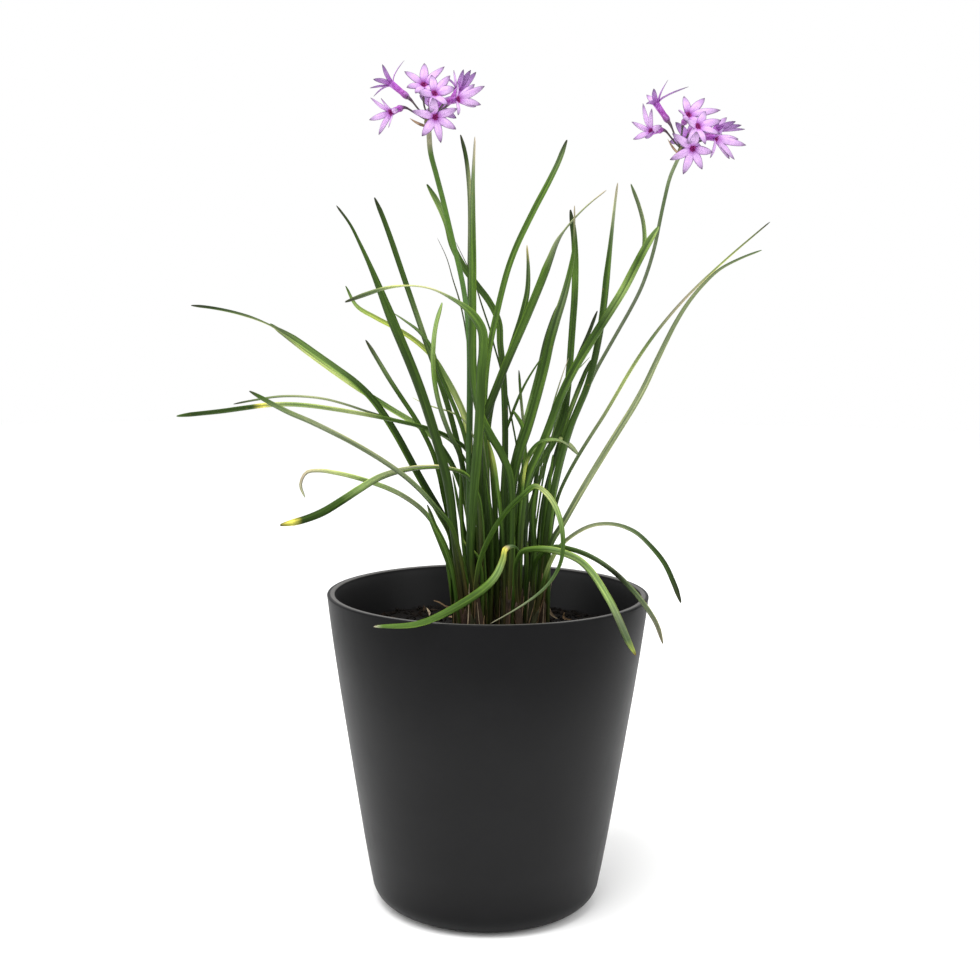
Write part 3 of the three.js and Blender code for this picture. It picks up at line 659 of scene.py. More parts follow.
def pot_material(lip_place):
    """Charcoal and satin, with fine grain, clouding and turning lines. A painted highlight makes the lip paler,
    from lip_place on.
    """
    paint = Paint("pot_charcoal", Specular_IOR_Level=0.16)
    place = paint.place()
    across, along = paint.map()
    cloud = paint.noise(place, 28.0, 4.0, 0.6)
    grain = paint.noise(place, 2600.0, 2.0, 0.6)
    lines = paint.noise(paint.stretched(3.0, across, along), 900.0, 2.0, 0.5)
    tall = paint.node("ShaderNodeMapping", {"Vector": place, "Scale": (1.0, 1.0, 0.25)}, vector_type="POINT")
    marks = paint.noise(tall.outputs[0], 160.0, 5.0, 0.7)
    rise = paint.math("SUBTRACT", along, lip_place - POT_HEIGHT)
    # Painted highlight: the top of the lip is painted paler, and given more gloss, where it faces the light.
    lip_start = paint.span(rise, POT_HEIGHT + 0.5 * MM, POT_HEIGHT + 1.2 * MM)
    lip_end = paint.span(rise, POT_HEIGHT + 2.8 * MM, POT_HEIGHT + 3.4 * MM, 1.0, 0.0)
    lip_highlight = paint.product(lip_start, lip_end)
    colour = paint.layered(
        "#0e0e0f",
        (cloud, (0.35, 0.7), "#111112"),
        (marks, (0.62, 0.8, 0.0, 0.12), "#28282a"),
        (grain, (0.6, 0.8, 0.0, 0.25), "#232325"),
    )
    colour = paint.blend(paint.product(lip_highlight, 0.9), colour, "#504e4c")
    roughness = paint.total(paint.span(cloud, 0.3, 0.7, 0.42, 0.46), paint.span(marks, 0.5, 0.8, 0.0, 0.05))
    near_foot = paint.span(rise, 0.0, 30 * MM, 0.58, 1.0)
    gloss = paint.product(near_foot, paint.span(rise, 80 * MM, 156 * MM, 0.157, 0.06))
    gloss = paint.math("MULTIPLY_ADD", lip_highlight, 0.1, gloss)
    gloss = paint.total(gloss, paint.span(rise, POT_HEIGHT + 2.8 * MM, POT_HEIGHT + 5 * MM, 0.0, 0.18))
    paint.feed(paint.shader.inputs["Specular IOR Level"], gloss)
    return paint.finish(colour, roughness, paint.total(grain, lines, 0.6), 0.12, 0.00008)


def mix_material(name, dark, pale, damp):
    """Peat and composted bark: crumbly, uneven, with damp dark places."""
    paint = Paint(name, Specular_IOR_Level=0.12)
    place = paint.place()
    lumps = paint.noise(place, 260.0, 6.0, 0.7)
    grit = paint.cells(place, 900.0)
    wet = paint.noise(place, 45.0, 3.0, 0.5)
    colour = paint.layered(
        dark,
        (lumps, (0.35, 0.7), pale),
        (grit, (0.0, 0.35, 0.6, 0.0), damp),
        (wet, (0.4, 0.65, 0.0, 0.7), damp),
    )
    roughness = paint.span(wet, 0.35, 0.7, 0.95, 0.7)
    return paint.finish(colour, roughness, paint.total(lumps, grit, 0.5), 0.8, 0.0006)


def leaf_material(name, tones, length, painted_light_contrast=0.0, painted_light_share=0.5):
    """A fleshy strap leaf: one part of the width painted lit and the rest painted shaded, broad bands of random
    tone and painted light and shade, veins, a pale margin with a painted highlight, a pale keel, and specks.
    """
    paint = Paint(name, Specular_IOR_Level=0.16, Specular_Tint=(0.92, 1.0, 0.72, 1.0))
    across, along = paint.map()
    seed = (sum(map(ord, name)) % 97) * 1.7
    surface = (across, paint.product(along, length), seed)
    from_edge = paint.math("PINGPONG", across, 0.25)
    vein_fade = paint.noise(paint.stretched(9.0, *surface), 22.0, 2.0, 0.5)
    veins = paint.product(paint.ribs(across, 26), vein_fade)
    tone_and_shade_bands = paint.noise(paint.stretched(0.3, *surface), 26.0, 2.0, 0.5)
    streaks = paint.noise(paint.stretched(1.3, *surface), 34.0, 4.0, 0.6)
    mottle = paint.noise(paint.stretched(0.012, *surface), 260.0, 5.0, 0.65)
    spots = paint.cells(paint.stretched(0.01, *surface), 120.0)
    # Painted light and shade: one part of the width is painted brighter and the rest darker, as if lit from one
    # side.
    painted_shade_half = [1 - abs(painted_light_contrast) * part for part in (0.45, 0.4, 0.5)]
    painted_light_half = [1 + abs(painted_light_contrast) * part for part in (0.4, 0.33, 0.15)]
    painted_halves = (painted_shade_half, painted_light_half) if painted_light_contrast > 0 else (painted_light_half, painted_shade_half)
    split = 0.5 * (1 - painted_light_share) if painted_light_contrast > 0 else 0.5 * painted_light_share
    half = paint.span(paint.math("PINGPONG", across, 0.5), split - 0.05, split + 0.05)
    colour = paint.ramp(along, tone_stops("foot 0 " + tones))
    colour = paint.times(colour, paint.blend(half, *[(*tone, 1.0) for tone in painted_halves]))
    colour = paint.layered(
        colour,
        # Broad bands: partly random tone and partly painted light and shade along the blade.
        (tone_and_shade_bands, (0.35, 0.5, 1.0, 0.0), (0.62, 0.66, 0.55)),
        (tone_and_shade_bands, (0.5, 0.66, 0.0, 1.0), (1.55, 1.45, 1.3)),
        (streaks, (0.35, 0.6, 0.8, 0.0), (0.75, 0.78, 0.65)),
        (streaks, (0.55, 0.75, 0.0, 0.6), (1.4, 1.3, 1.1)),
        (veins, (0.35, 0.8, 0.0, 0.5), (0.6, 0.66, 0.5)),
        (mottle, (0.5, 0.72, 0.0, 0.7), (1.3, 1.2, 1.25)),
        # The margin: its own paler green, brightened further by a painted highlight along the edge.
        (from_edge, (0.0, 0.045, 1.0, 0.0), (2.3, 2.0, 1.5)),
        (from_edge, (0.2, 0.25, 0.0, 0.8), (1.35, 1.3, 1.3)),
    )
    colour = paint.toned(paint.math("GREATER_THAN", across, 0.5), colour, (1.25, 1.2, 1.35))
    colour = paint.layered(colour, (spots, (0.03, 0.09, 0.4, 0.0), "#6f5f2c"))
    roughness = paint.span(mottle, 0.3, 0.7, 0.42, 0.6)
    return paint.finish(colour, roughness, paint.total(veins, mottle, 0.5), 0.35, 0.00012)


def scape_material(name, stops):
    """A smooth round stalk with fine ribs and a waxy bloom."""
    paint = Paint(name, Specular_IOR_Level=0.2)
    across, along = paint.map()
    ribs = paint.ribs(across, 14)
    bloom = paint.noise(paint.place(), 300.0, 5.0, 0.6)
    colour = paint.toned(ribs, paint.ramp(along, stops), (0.72, 0.76, 0.66))
    colour = paint.layered(colour, (bloom, (0.45, 0.7, 0.0, 0.8), (1.35, 1.3, 1.4)))
    return paint.finish(colour, paint.span(bloom, 0.3, 0.7, 0.4, 0.6), ribs, 0.3, 0.0001)


def paper_material(name, pale, mid, dark):
    """Dry papery tissue with long fibres, blotches and a thin, brittle look."""
    paint = Paint(name, Specular_IOR_Level=0.2)
    fibres = paint.noise(paint.stretched(42.0, *paint.map()), 1.6, 4.0, 0.6)
    blotches = paint.noise(paint.place(), 150.0, 4.0, 0.6)
    specks = paint.cells(paint.place(), 700.0)
    colour = paint.layered(
        mid,
        (fibres, (0.35, 0.65), pale),
        (blotches, (0.45, 0.7, 0.0, 0.75), dark),
        (specks, (0.0, 0.2, 0.4, 0.0), dark),
    )
    return paint.finish(colour, paint.span(fibres, 0.3, 0.7, 0.6, 0.85), fibres, 0.7, 0.0002)


def tepal_material():
    """Lilac in front and violet behind, with a magenta throat end, a faint rib and veins; the violet behind is
    partly painted shade, the darker margins are painted shade, and pale specks are painted glints.
    """
    paint = Paint("tepal_lilac", Specular_IOR_Level=0.2)
    across, along = paint.map()
    from_edge = paint.math("PINGPONG", across, 0.25)
    broad = paint.noise(paint.place(), 130.0, 2.0, 0.5)
    # Crystal sparkle: glossier and bumpier in specks, which are also painted paler as painted glints.
    crystal_glint = paint.noise(paint.place(), 1600.0, 2.0, 0.6)
    wash = paint.noise(paint.place(), 420.0, 4.0, 0.6)
    veins = paint.ribs(across, 18)
    rib = paint.product(paint.span(from_edge, 0.2, 0.25), paint.span(along, 0.45, 0.95, 0.5, 0.0))
    front = paint.ramp(along, [(0.0, "#84258a"), (0.2, "#ae6cbc"), (0.42, "#c39cce"), (0.66, "#c5a0cf"),
                               (0.88, "#a384af"), (1.0, "#4a3650")])
    front = paint.layered(front, (broad, (0.4, 0.56), (1.04, 1.1, 1.03)))
    # The back: a deeper violet, partly the tepal's own colour and partly painted shade on its underside.
    back = paint.ramp(along, [(0.0, "#84258a"), (0.25, "#a160b2"), (0.6, "#b086c1"), (0.88, "#8e6ea0"),
                              (1.0, "#44304a")])
    colour = paint.blend(paint.math("LESS_THAN", across, 0.5), front, back)
    colour = paint.toned(paint.product(veins, 0.35), colour, (0.84, 0.76, 0.9))
    colour = paint.toned(rib, colour, (0.78, 0.62, 0.85))
    colour = paint.layered(
        colour,
        (wash, (0.45, 0.7, 0.0, 0.5), (0.9, 0.8, 0.93)),
        # Painted shade: the margins are darkened into outlines.
        (from_edge, (0.0, 0.055, 0.9, 0.0), (0.5, 0.42, 0.56)),
        (crystal_glint, (0.58, 0.76, 0.0, 0.1), "#efe4f3"),
    )
    roughness = paint.span(crystal_glint, 0.4, 0.7, 0.6, 0.42)
    return paint.finish(colour, roughness, paint.total(veins, crystal_glint, 0.4), 0.35, 0.00012)


def tube_material():
    """The flower tube: magenta purple, with darker streaks that run from its foot to its mouth."""
    paint = Paint("flower_tube", Specular_IOR_Level=0.25)
    across, along = paint.map()
    streaks = paint.ribs(across, 12)
    wash = paint.noise(paint.place(), 500.0, 4.0, 0.6)
    colour = paint.ramp(along, [(0.0, "#55463f"), (0.1, "#7d4a7c"), (0.35, "#9a3f9c"), (0.7, "#a94fb4"),
                                (1.0, "#b05cc6")])
    colour = paint.blend(paint.product(streaks, 0.65), colour, "#662478")
    colour = paint.layered(colour, (wash, (0.45, 0.7, 0.0, 0.45), "#cf98e0"))
    return paint.finish(colour, paint.span(wash, 0.3, 0.7, 0.4, 0.55), streaks, 0.3, 0.0001)


def stalklet_material():
    """The thin stalk of one floret: green below, flushed dark purple above."""
    paint = Paint("floret_stalk", Specular_IOR_Level=0.35)
    across, along = paint.map()
    flush = paint.noise(paint.place(), 600.0, 4.0, 0.6)
    lines = paint.noise(paint.stretched(14.0, across, along), 4.0, 3.0, 0.5)
    colour = paint.ramp(along, [(0.0, "#455033"), (0.35, "#3d3b34"), (0.8, "#402f3a"), (1.0, "#5d405c")])
    colour = paint.layered(colour, (flush, (0.45, 0.7, 0.0, 0.35), "#65674f"))
    return paint.finish(colour, paint.span(flush, 0.3, 0.7, 0.45, 0.6), lines, 0.3, 0.0001)


def throat_material():
    """Small fleshy lobes and anthers in the throat."""
    paint = Paint("throat_lobes", Specular_IOR_Level=0.2)
    grain = paint.noise(paint.place(), 2500.0, 3.0, 0.6)
    colour = paint.layered("#6a0f4a", (grain, (0.4, 0.65), "#96287c"))
    return paint.finish(colour, paint.span(grain, 0.3, 0.7, 0.4, 0.6), grain, 0.3, 0.0001)


# Pot.

cad_pot_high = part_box("pot")[1]
RIM_RADIUS = cad_pot_high.x
POT_HEIGHT = cad_pot_high.z
WALL_SLOPE = (RIM_RADIUS - POT_BASE_RADIUS) / POT_HEIGHT


def outer_radius(height):
    return POT_BASE_RADIUS + WALL_SLOPE * height


def inner_radius(height):
    return outer_radius(height) - POT_WALL


def bulge(height):
    """How far the outside of the wall swells beyond a straight one."""
    heights, swells = zip(*WALL_SWELL)
    return np.interp(height / MM, heights, swells) * MM


def arc(centre, radius, start, end, steps):
    """Points of an arc in the outline's plane; angles in radians from outward, anticlockwise."""
    angles = np.linspace(start, end, steps + 1)
    return [(centre[0] + radius * math.cos(a), centre[1] + radius * math.sin(a)) for a in angles]


def pot_outline():
    """From the middle of the underside, up the outside, over the lip and down to the middle of the floor."""
    lean = math.atan(WALL_SLOPE)
    foot = (outer_radius(FOOT_ROUND) - FOOT_ROUND / math.cos(lean), FOOT_ROUND)
    lip_height = POT_HEIGHT - LIP_ROUND
    outer_lip = (outer_radius(lip_height) - LIP_ROUND / math.cos(lean), lip_height)
    inner_lip = (inner_radius(lip_height) + LIP_ROUND / math.cos(lean), lip_height)
    floor_height = POT_FLOOR + INNER_ROUND
    inner = (inner_radius(floor_height) - INNER_ROUND, floor_height)
    outline = [(share * foot[0], 0.0) for share in np.linspace(0.02, 0.96, 12)]
    outline += arc(foot, FOOT_ROUND, -math.pi / 2, -lean, 10)
    bottom = outline[-1]
    lip_arc = arc(outer_lip, LIP_ROUND, -lean, math.pi / 2, 8)
    lip_arc += arc(inner_lip, LIP_ROUND, math.pi / 2, math.pi - lean, 8)
    outer_wall = np.subtract(lip_arc[0], bottom)
    for share in np.linspace(0, 1, OUTER_WALL_STEPS)[1:-1]:
        radius, height = np.add(bottom, share * outer_wall)
        outline.append((radius + bulge(height), height))
    outline += lip_arc
    inner_arc = arc(inner, INNER_ROUND, 0.0, -math.pi / 2, 8)
    inner_wall = np.subtract(inner_arc[0], lip_arc[-1])
    for share in np.linspace(0, 1, INNER_WALL_STEPS)[1:-1]:
        outline.append(tuple(np.add(lip_arc[-1], share * inner_wall)))
    outline += inner_arc
    outline += [(share * inner[0], POT_FLOOR) for share in np.linspace(0.95, 0.02, 8)]
    return np.array(outline)


def make_pot():
    outline = pot_outline()
    angles = circle(POT_SIDES)
    heights = np.repeat(outline[:, 1:], POT_SIDES, axis=1)
    rows = np.stack([outline[:, :1] * np.cos(angles), outline[:, :1] * np.sin(angles), heights], axis=2)
    along = distances(outline)
    lip_place = along[np.argmax(outline[:, 1])]
    shape = Shape()
    shape.grid(rows, np.linspace(0, 1, POT_SIDES + 1), along)
    pot = shape.piece("pot_shell", [pot_material(float(lip_place))])
    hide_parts("pot")


# Potting mix.

MIX_EDGE_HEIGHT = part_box("potting_mix")[1].z - MIX_CROWN_RISE


def mix_height(radius):
    share = np.clip(np.asarray(radius) / MIX_CROWN_RADIUS, 0, 1)
    return MIX_EDGE_HEIGHT + MIX_CROWN_RISE * (0.5 + 0.5 * np.cos(math.pi * share))


def mix_surface(x, y):
    """Height of the crumbly surface at x, y."""
    lumps = noise.fractal(Vector((x * 90, y * 90, 3.1)), 0.9, 2.1, 5)
    clods = noise.fractal(Vector((x * 28, y * 28, 8.7)), 1.0, 2.0, 3)
    return float(mix_height(math.hypot(x, y))) + 0.55 * MM * lumps + 0.8 * MM * clods - 0.4 * MM


def make_mix():
    edge = inner_radius(MIX_EDGE_HEIGHT) - 0.15 * MM
    rows = []
    for radius in edge * np.linspace(0.01, 1, MIX_RINGS):
        rows.append([(x, y, mix_surface(x, y)) for x, y, _ in hoop(radius, 0, MIX_SIDES)])
    for drop in (0.35, 1.0):
        low = MIX_EDGE_HEIGHT - MIX_DEPTH * drop
        rows.append(hoop(inner_radius(low) - 0.3 * MM, low, MIX_SIDES))
    shape = Shape()
    shape.grid(rows, np.linspace(0, 1, MIX_SIDES + 1), np.linspace(0, 1, len(rows)))
    # The mix colours are its own dark tone, darkened further as painted shade inside the pot.
    mix = shape.piece("mix_surface", [mix_material("mix_peat", "#0a0806", "#15100c", "#060404")])
    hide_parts("potting_mix")


def lump(shape, dice, middle, size, number=0):
    """One crumb: a small uneven many-sided stone shape."""
    golden = (1 + math.sqrt(5)) / 2
    corners = []
    for a, b in itertools.product((-1, 1), (-golden, golden)):
        corners += [(0, a, b), (a, b, 0), (b, 0, a)]
    turn = Euler([dice.uniform(0, 2 * math.pi) for _ in range(3)]).to_matrix()
    solid = bmesh.new()
    for corner in corners:
        spot = Vector([c * s for c, s in zip(corner, size)]) * dice.uniform(0.36, 0.6)
        solid.verts.new(turn @ spot + middle)
    bmesh.ops.convex_hull(solid, input=list(solid.verts))
    first = len(shape.points)
    solid.verts.index_update()
    shape.points.extend(tuple(v.co) for v in solid.verts)
    for face in solid.faces:
        count = len(face.verts)
        shape.face([first + v.index for v in face.verts], [(0.5, 0.5)] * count, number)
    solid.free()


def spot_on_mix(dice, margin):
    """A random place on the mix, at least that far from the wall."""
    radius = (inner_radius(MIX_EDGE_HEIGHT) - margin) * math.sqrt(dice.random())
    angle = dice.uniform(0, 2 * math.pi)
    return radius * math.cos(angle), radius * math.sin(angle)


def make_crumbs():
    """Loose crumbs of peat and chips of bark on the mix."""
    dice = random.Random(SEED)
    crumbs = Shape()
    chips = Shape()
    for _ in range(CRUMBS):
        size = dice.uniform(0.5, 1.7) * MM
        x, y = spot_on_mix(dice, 1.4 * size)
        middle = Vector((x, y, mix_surface(x, y) + 0.25 * size))
        lump(crumbs, dice, middle, (size, size * dice.uniform(0.6, 1), size * 0.8))
    for _ in range(BARK_CHIPS):
        long = dice.uniform(1.6, 3.6) * MM
        x, y = spot_on_mix(dice, 2 * long)
        middle = Vector((x, y, mix_surface(x, y) + 0.5 * MM))
        lump(chips, dice, middle, (long, long * dice.uniform(0.35, 0.6), long * 0.28), dice.choice((0, 0, 1)))
    # The crumb and bark colours are their own tones, darkened further as painted shade inside the pot.
    peat = mix_material("crumb_peat", "#0d0a07", "#1a140f", "#070504")
    crumb_piece = crumbs.piece("mix_crumbs", [peat], False)
    bark = [
        mix_material("bark_brown", "#130e0a", "#261b14", "#0c0806"),
        mix_material("bark_tan", "#261d15", "#4a3b2e", "#18110c"),
    ]
    chip_piece = chips.piece("mix_bark", bark, False)


# Leaves.


def leaf_rows(centre, breadth, upper, half, ends=None):
    """Rows of points round a channelled strap leaf, finer than its rings, and the way along it.

    ends gives the width towards the tip as a part of the greatest, where the tip is blunt.
    """
    knots = distances(centre)
    length = knots[-1]
    at = np.linspace(0, length, max(8, int(length / LEAF_STEP)))
    near_tip = length - np.array([0.9, 0.4, 0.12]) * MM
    at = np.sort(np.concatenate([at[:-1], near_tip, [length]]))
    middle = spline(knots, centre, at)
    side = unit(spline(knots, breadth, at))
    top = spline(knots, upper, at)
    top = unit(top - side * np.sum(top * side, axis=1, keepdims=True))
    width = spline(knots, half, at)
    tip = USUAL_TIP
    if ends:
        width = half.max() * np.interp(at / length, *zip(*ends))
        tip = BLUNTNESS * width[-1]
    rise = np.clip(at / length / ROOT_NARROWING_END, 0, 1)
    width = width * (ROOT_NARROWING + (1 - ROOT_NARROWING) * rise * rise * (3 - 2 * rise))
    width = width * (0.12 + 0.88 * np.sqrt(np.clip((length - at) / tip, 0, 1)))
    body = LEAF_THICKNESS * np.minimum(1, width / (1.1 * MM))
    columns = []
    places, above, across = section(UPPER_POINTS, LOWER_POINTS, UPPER_SHARE, UPPER_SHARE - 1)
    for place, share in zip(places, above):
        channel = LEAF_FOLD * width * (place * place - 0.4)
        thick = body * (0.22 + 0.78 * (1 - place * place) ** 0.5)
        columns.append(middle + side * (width * place)[:, None] + top * (channel + share * thick)[:, None])
    return np.stack(columns, axis=1), across, at


def section(upper_points, lower_points, above, below):
    """Places from -1 to 1 round a flat section, a share for each of its two faces, and their map places."""
    down_places = np.linspace(1, -1, lower_points)[1:-1]
    places = np.concatenate([np.linspace(-1, 1, upper_points), down_places])
    shares = [above] * upper_points + [below] * len(down_places)
    across = np.concatenate([np.linspace(0, 0.5, upper_points), 0.5 + 0.25 * (1 - down_places), [1.0]])
    return places, shares, across


def buried(centre, breadth, upper, half):
    """The same leaf with its root carried on down into the mix."""
    down = unit(centre[0] - centre[1])
    root = centre[0] + down * BURIED
    return (
        np.vstack([root, centre]),
        np.vstack([breadth[0], breadth]),
        np.vstack([upper[0], upper]),
        np.concatenate([[half[0]], half]),
    )


def make_leaf(name, frames, colours, painted_light_side=USUAL_PAINTED_LIGHT_SIDE, ends=None):
    rows, across, at = leaf_rows(*buried(*frames), ends)
    shape = Shape()
    shape.grid(rows, across, at / at[-1])
    # Which part of the blade is painted lit: the part that faces the given way across and up.
    x, z, painted_light_contrast, painted_light_share = painted_light_side
    if frames[1].mean(axis=0) @ (x, 0, z) < 0:
        painted_light_contrast = -painted_light_contrast
    leaf = shape.piece(name, [leaf_material(name, colours, float(at[-1]), painted_light_contrast, painted_light_share)])
    return leaf


LEAVES = {}


def make_leaves():
    for node, colours in LEAF_COLOURS.items():
        LEAVES[node] = leaf_frames(node)
        painted_light_side = PAINTED_LIGHT_SIDES.get(node, USUAL_PAINTED_LIGHT_SIDE)
        ends = SLENDER_ENDS.get(node, BLUNT_END)
        leaf = make_leaf(node.replace("leaf", "blade"), LEAVES[node], colours, painted_light_side, ends)
        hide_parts(node)


def make_shoots():
    """Young leaves that fill the middle of the clump, each beside the lower part of a grown one."""
    dice = random.Random(SEED + 2)
    grown = [frames for node, frames in LEAVES.items() if "drooping" not in node]
    shape = Shape()
    for i in range(SHOOTS):
        centre, breadth, upper, _ = grown[i % len(grown)]
        height = dice.uniform(180, 238) * MM
        count = int(np.sum(centre[:, 2] < height))
        line = centre[:count]
        share = distances(line) / distances(line)[-1]
        aside = np.array((dice.uniform(-4.5, 4.5), dice.uniform(-3, 7), 0)) * MM
        line = line + aside * (1 - 0.75 * share)[:, None]
        side, top = turned(breadth[:count], upper[:count], dice.uniform(-0.9, 0.9))
        half = dice.uniform(1.1, 1.8) * MM * np.maximum(1 - share**3, 0.12)
        rows, across, at = leaf_rows(*buried(line, side, top, half))
        shape.grid(rows, across, at / at[-1])
    green = leaf_material("shoot_green", "base 8 mid 30 green 60 fresh 85 grey 100", 0.08)
    shoots = shape.piece("inner_shoots", [green])


def make_traced_leaves():
    """Leaves that are traced from the front, each on a line that leans to or from the eye."""
    thin = [("thin_blade", *leaf) for leaf in THIN_LEAVES]
    close = [("clump_blade", *leaf[:2], THIN_LEAF_TURN, *leaf[2:]) for leaf in THICKET]
    for i, (name, width, depths, turn, colours, trace) in enumerate(thin + close, 1):
        share = np.linspace(0, 1, len(trace))
        deep = np.interp(share, [0, 1], depths) * MM
        line = np.array([along_sight((x * MM, 0, z * MM), y) for (x, z), y in zip(trace[::-1], deep)])
        tangents = unit(np.gradient(line, axis=0))
        side = unit(np.cross(tangents, (0, 1.0, 0)))
        upper = np.cross(side, tangents)
        breadth, top = turned(side, upper, turn)
        half = width / 2 * MM * np.interp(share, [0, 0.7, 1], [1, 0.95, 0.25])
        make_leaf("%s_%d" % (name, i), (line, breadth, top, half), colours)


def make_sheaths():
    """Papery sheaths with ragged tops round the foot of each leaf."""
    dice = random.Random(SEED + 3)
    shape = Shape()
    for centre, breadth, upper, half in LEAVES.values():
        knots = distances(centre)
        height = dice.uniform(8, 26) * MM
        kind = dice.choice((0, 0, 1, 1, 2))
        wide, deep = half[0] + 0.3 * MM, 0.85 * MM
        columns = []
        for angle in circle(SHEATH_SIDES):
            tall = height * (0.85 + 0.15 * math.sin(2 * angle + kind) + dice.uniform(-0.08, 0.08))
            at = np.linspace(-0.1, 1, SHEATH_STEPS) * tall
            middle = spline(knots, centre, at)
            side, top = unit(spline(knots, breadth, at)), unit(spline(knots, upper, at))
            flare = 1 + 0.12 * np.linspace(0, 1, SHEATH_STEPS)[:, None] ** 3
            outward = side * wide * math.cos(angle) + top * deep * math.sin(angle)
            outside = middle + outward * flare
            columns.append(np.vstack([outside, (outside - unit(outward) * 0.18 * MM)[::-1]]))
        rows = np.stack(columns, axis=1)
        along = np.linspace(0, 1, 2 * SHEATH_STEPS) * 0.03
        shape.grid(rows, np.linspace(0, 1, SHEATH_SIDES + 1), along, kind)
    papers = [
        paper_material("sheath_brown", "#47382a", "#2a2016", "#15100a"),
        paper_material("sheath_olive", "#3a3b24", "#282a17", "#17150c"),
        paper_material("sheath_pink", "#59453a", "#37281f", "#1d150f"),
    ]
    sheaths = shape.piece("root_sheaths", papers)


def make_scraps():
    """Dead strips that stand among the leaf feet, and curled scraps that lie on the mix."""
    dice = random.Random(SEED + 4)
    shape = Shape()
    feet = [frames[0] for frames in LEAVES.values()]
    for _ in range(STANDING_STRIPS):
        foot = dice.choice(feet)
        tall = dice.uniform(8, 30) * MM
        knots = distances(foot)
        at = np.linspace(-0.08, 1, STRIP_POINTS) * tall
        aside = np.array((dice.uniform(-3, 3), dice.uniform(-3.4, 3), 0)) * MM
        line = spline(knots, foot, at) + aside
        line[:, 0] += dice.uniform(-1.6, 1.6) * MM * np.linspace(0, 1, STRIP_POINTS) ** 2
        turn = dice.uniform(0, math.pi)
        half = dice.uniform(0.2, 0.6) * MM * np.interp(at, [0, tall], [1, 0.3])
        breadth = np.array((math.cos(turn), math.sin(turn), 0))
        ribbon(shape, line, breadth, half, dice.choice((0, 1, 1, 2)), 0.5, 0.2 * MM, dice.uniform(-1.5, 1.5))
    reach = inner_radius(MIX_EDGE_HEIGHT)
    for _ in range(LYING_SCRAPS):
        spot = spot_on_mix(dice, 9 * MM)
        turn = dice.uniform(0, 2 * math.pi)
        long = dice.uniform(4, 15) * MM
        bend = dice.uniform(-0.9, 0.9)
        headings = turn + bend * np.linspace(-1, 1, SCRAP_POINTS)
        flat = np.cumsum(np.stack([np.cos(headings), np.sin(headings)], axis=1), axis=0) * long / SCRAP_POINTS
        flat += np.array(spot) - flat.mean(axis=0)
        flat *= np.minimum(1, (reach - 1.5 * MM) / np.linalg.norm(flat, axis=1))[:, None]
        lift = dice.uniform(0.2, 1.0) * MM + dice.uniform(0, 2.5) * MM * np.linspace(0, 1, SCRAP_POINTS) ** 2
        line = np.array([(x, y, mix_surface(x, y) + z) for (x, y), z in zip(flat, lift)])
        half = dice.uniform(0.3, 0.9) * MM * np.sin(math.pi * np.linspace(0.12, 0.95, SCRAP_POINTS))
        breadth = np.array((-math.sin(turn), math.cos(turn), dice.uniform(-0.5, 0.5)))
        ribbon(shape, line, breadth, half, dice.choice((0, 0, 1, 2)), 0.5, 0.2 * MM, dice.uniform(-1, 1))
    for depth, width, kind, trace in CURLED_SCRAPS:
        spots = np.array([along_sight((x * MM, 0, z * MM), depth * MM) for x, z in trace])
        line = bent(*spots, 10)
        half = width / 2 * MM * np.sin(math.pi * np.linspace(0.2, 0.94, len(line)))
        ribbon(shape, line, np.array((0.6, 0.6, 0.2)), half, kind, 0.6, 0.25 * MM, 0.8)
    papers = [
        paper_material("scrap_brown", "#5a4634", "#3a2a1e", "#1f150e"),
        paper_material("scrap_tan", "#8d7558", "#665039", "#382819"),
        paper_material("scrap_pale", "#b5a68c", "#8d7c62", "#5a4733"),
    ]
    scraps = shape.piece("dead_scraps", papers)


# Stalks and flowers.

FLOWER_MATERIALS = [stalklet_material(), tube_material(), tepal_material(), throat_material()]


def tube_rows(centre, radii, sides):
    """Rows of points round a line, without twist."""
    tangents = unit(np.gradient(centre, axis=0))
    side = unit(np.cross(tangents[0], (0.3, 1.0, 0.2)))
    rows = []
    for point, along, radius in zip(centre, tangents, radii):
        side = unit(side - along * np.dot(side, along))
        other = np.cross(along, side)
        rows.append([point + radius * (side * math.cos(a) + other * math.sin(a)) for a in circle(sides)])
    return np.array(rows)


def tube(shape, centre, radii, sides, along, number=0):
    """A round tube that is closed at both ends."""
    shape.grid(tube_rows(centre, radii, sides), np.linspace(0, 1, sides + 1), along, number)


def make_scape(node, stops):
    rings = rings_from(node, lowest_near_axis(node), 8)
    centre = np.array([r.mean(axis=0) for r in rings])
    radii = np.array([np.linalg.norm(r - r.mean(axis=0), axis=1).mean() for r in rings])
    centre = np.vstack([centre[0] - (0, 0, BURIED), centre])
    radii = np.concatenate([[radii[0]], radii])
    knots = distances(centre)
    at = np.linspace(0, knots[-1], int(knots[-1] / (2 * MM)))
    shape = Shape()
    tube(shape, spline(knots, centre, at), spline(knots, radii, at), STALK_SIDES, at / at[-1])
    stalk = shape.piece(node.replace("scape", "stalk"), [scape_material(node + "_skin", stops)])
    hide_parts(node)
    return centre[-1], unit(centre[-1] - centre[-2])


def ribbon(shape, line, breadth, half, number, cup, thick, twist):
    """A thin closed petal or scrap along a line of points. breadth is the way that its width points."""
    share = np.linspace(0, 1, len(line))
    tangents = unit(np.gradient(line, axis=0))
    side = unit(breadth - tangents * (tangents @ breadth)[:, None])
    top = np.cross(tangents, side)
    side, top = turned(side, top, (twist * share)[:, None])
    body = thick * (1 - 0.6 * share)
    columns = []
    places, signs, across = section(RIBBON_POINTS, RIBBON_POINTS, 1, -1)
    for place, sign in zip(places, signs):
        lift = cup * half * (place * place - 0.4) + sign * 0.5 * body * (1.15 - place * place)
        columns.append(line + side * (half * place)[:, None] + top * lift[:, None])
    shape.grid(np.stack(columns, axis=1), across, share, number)


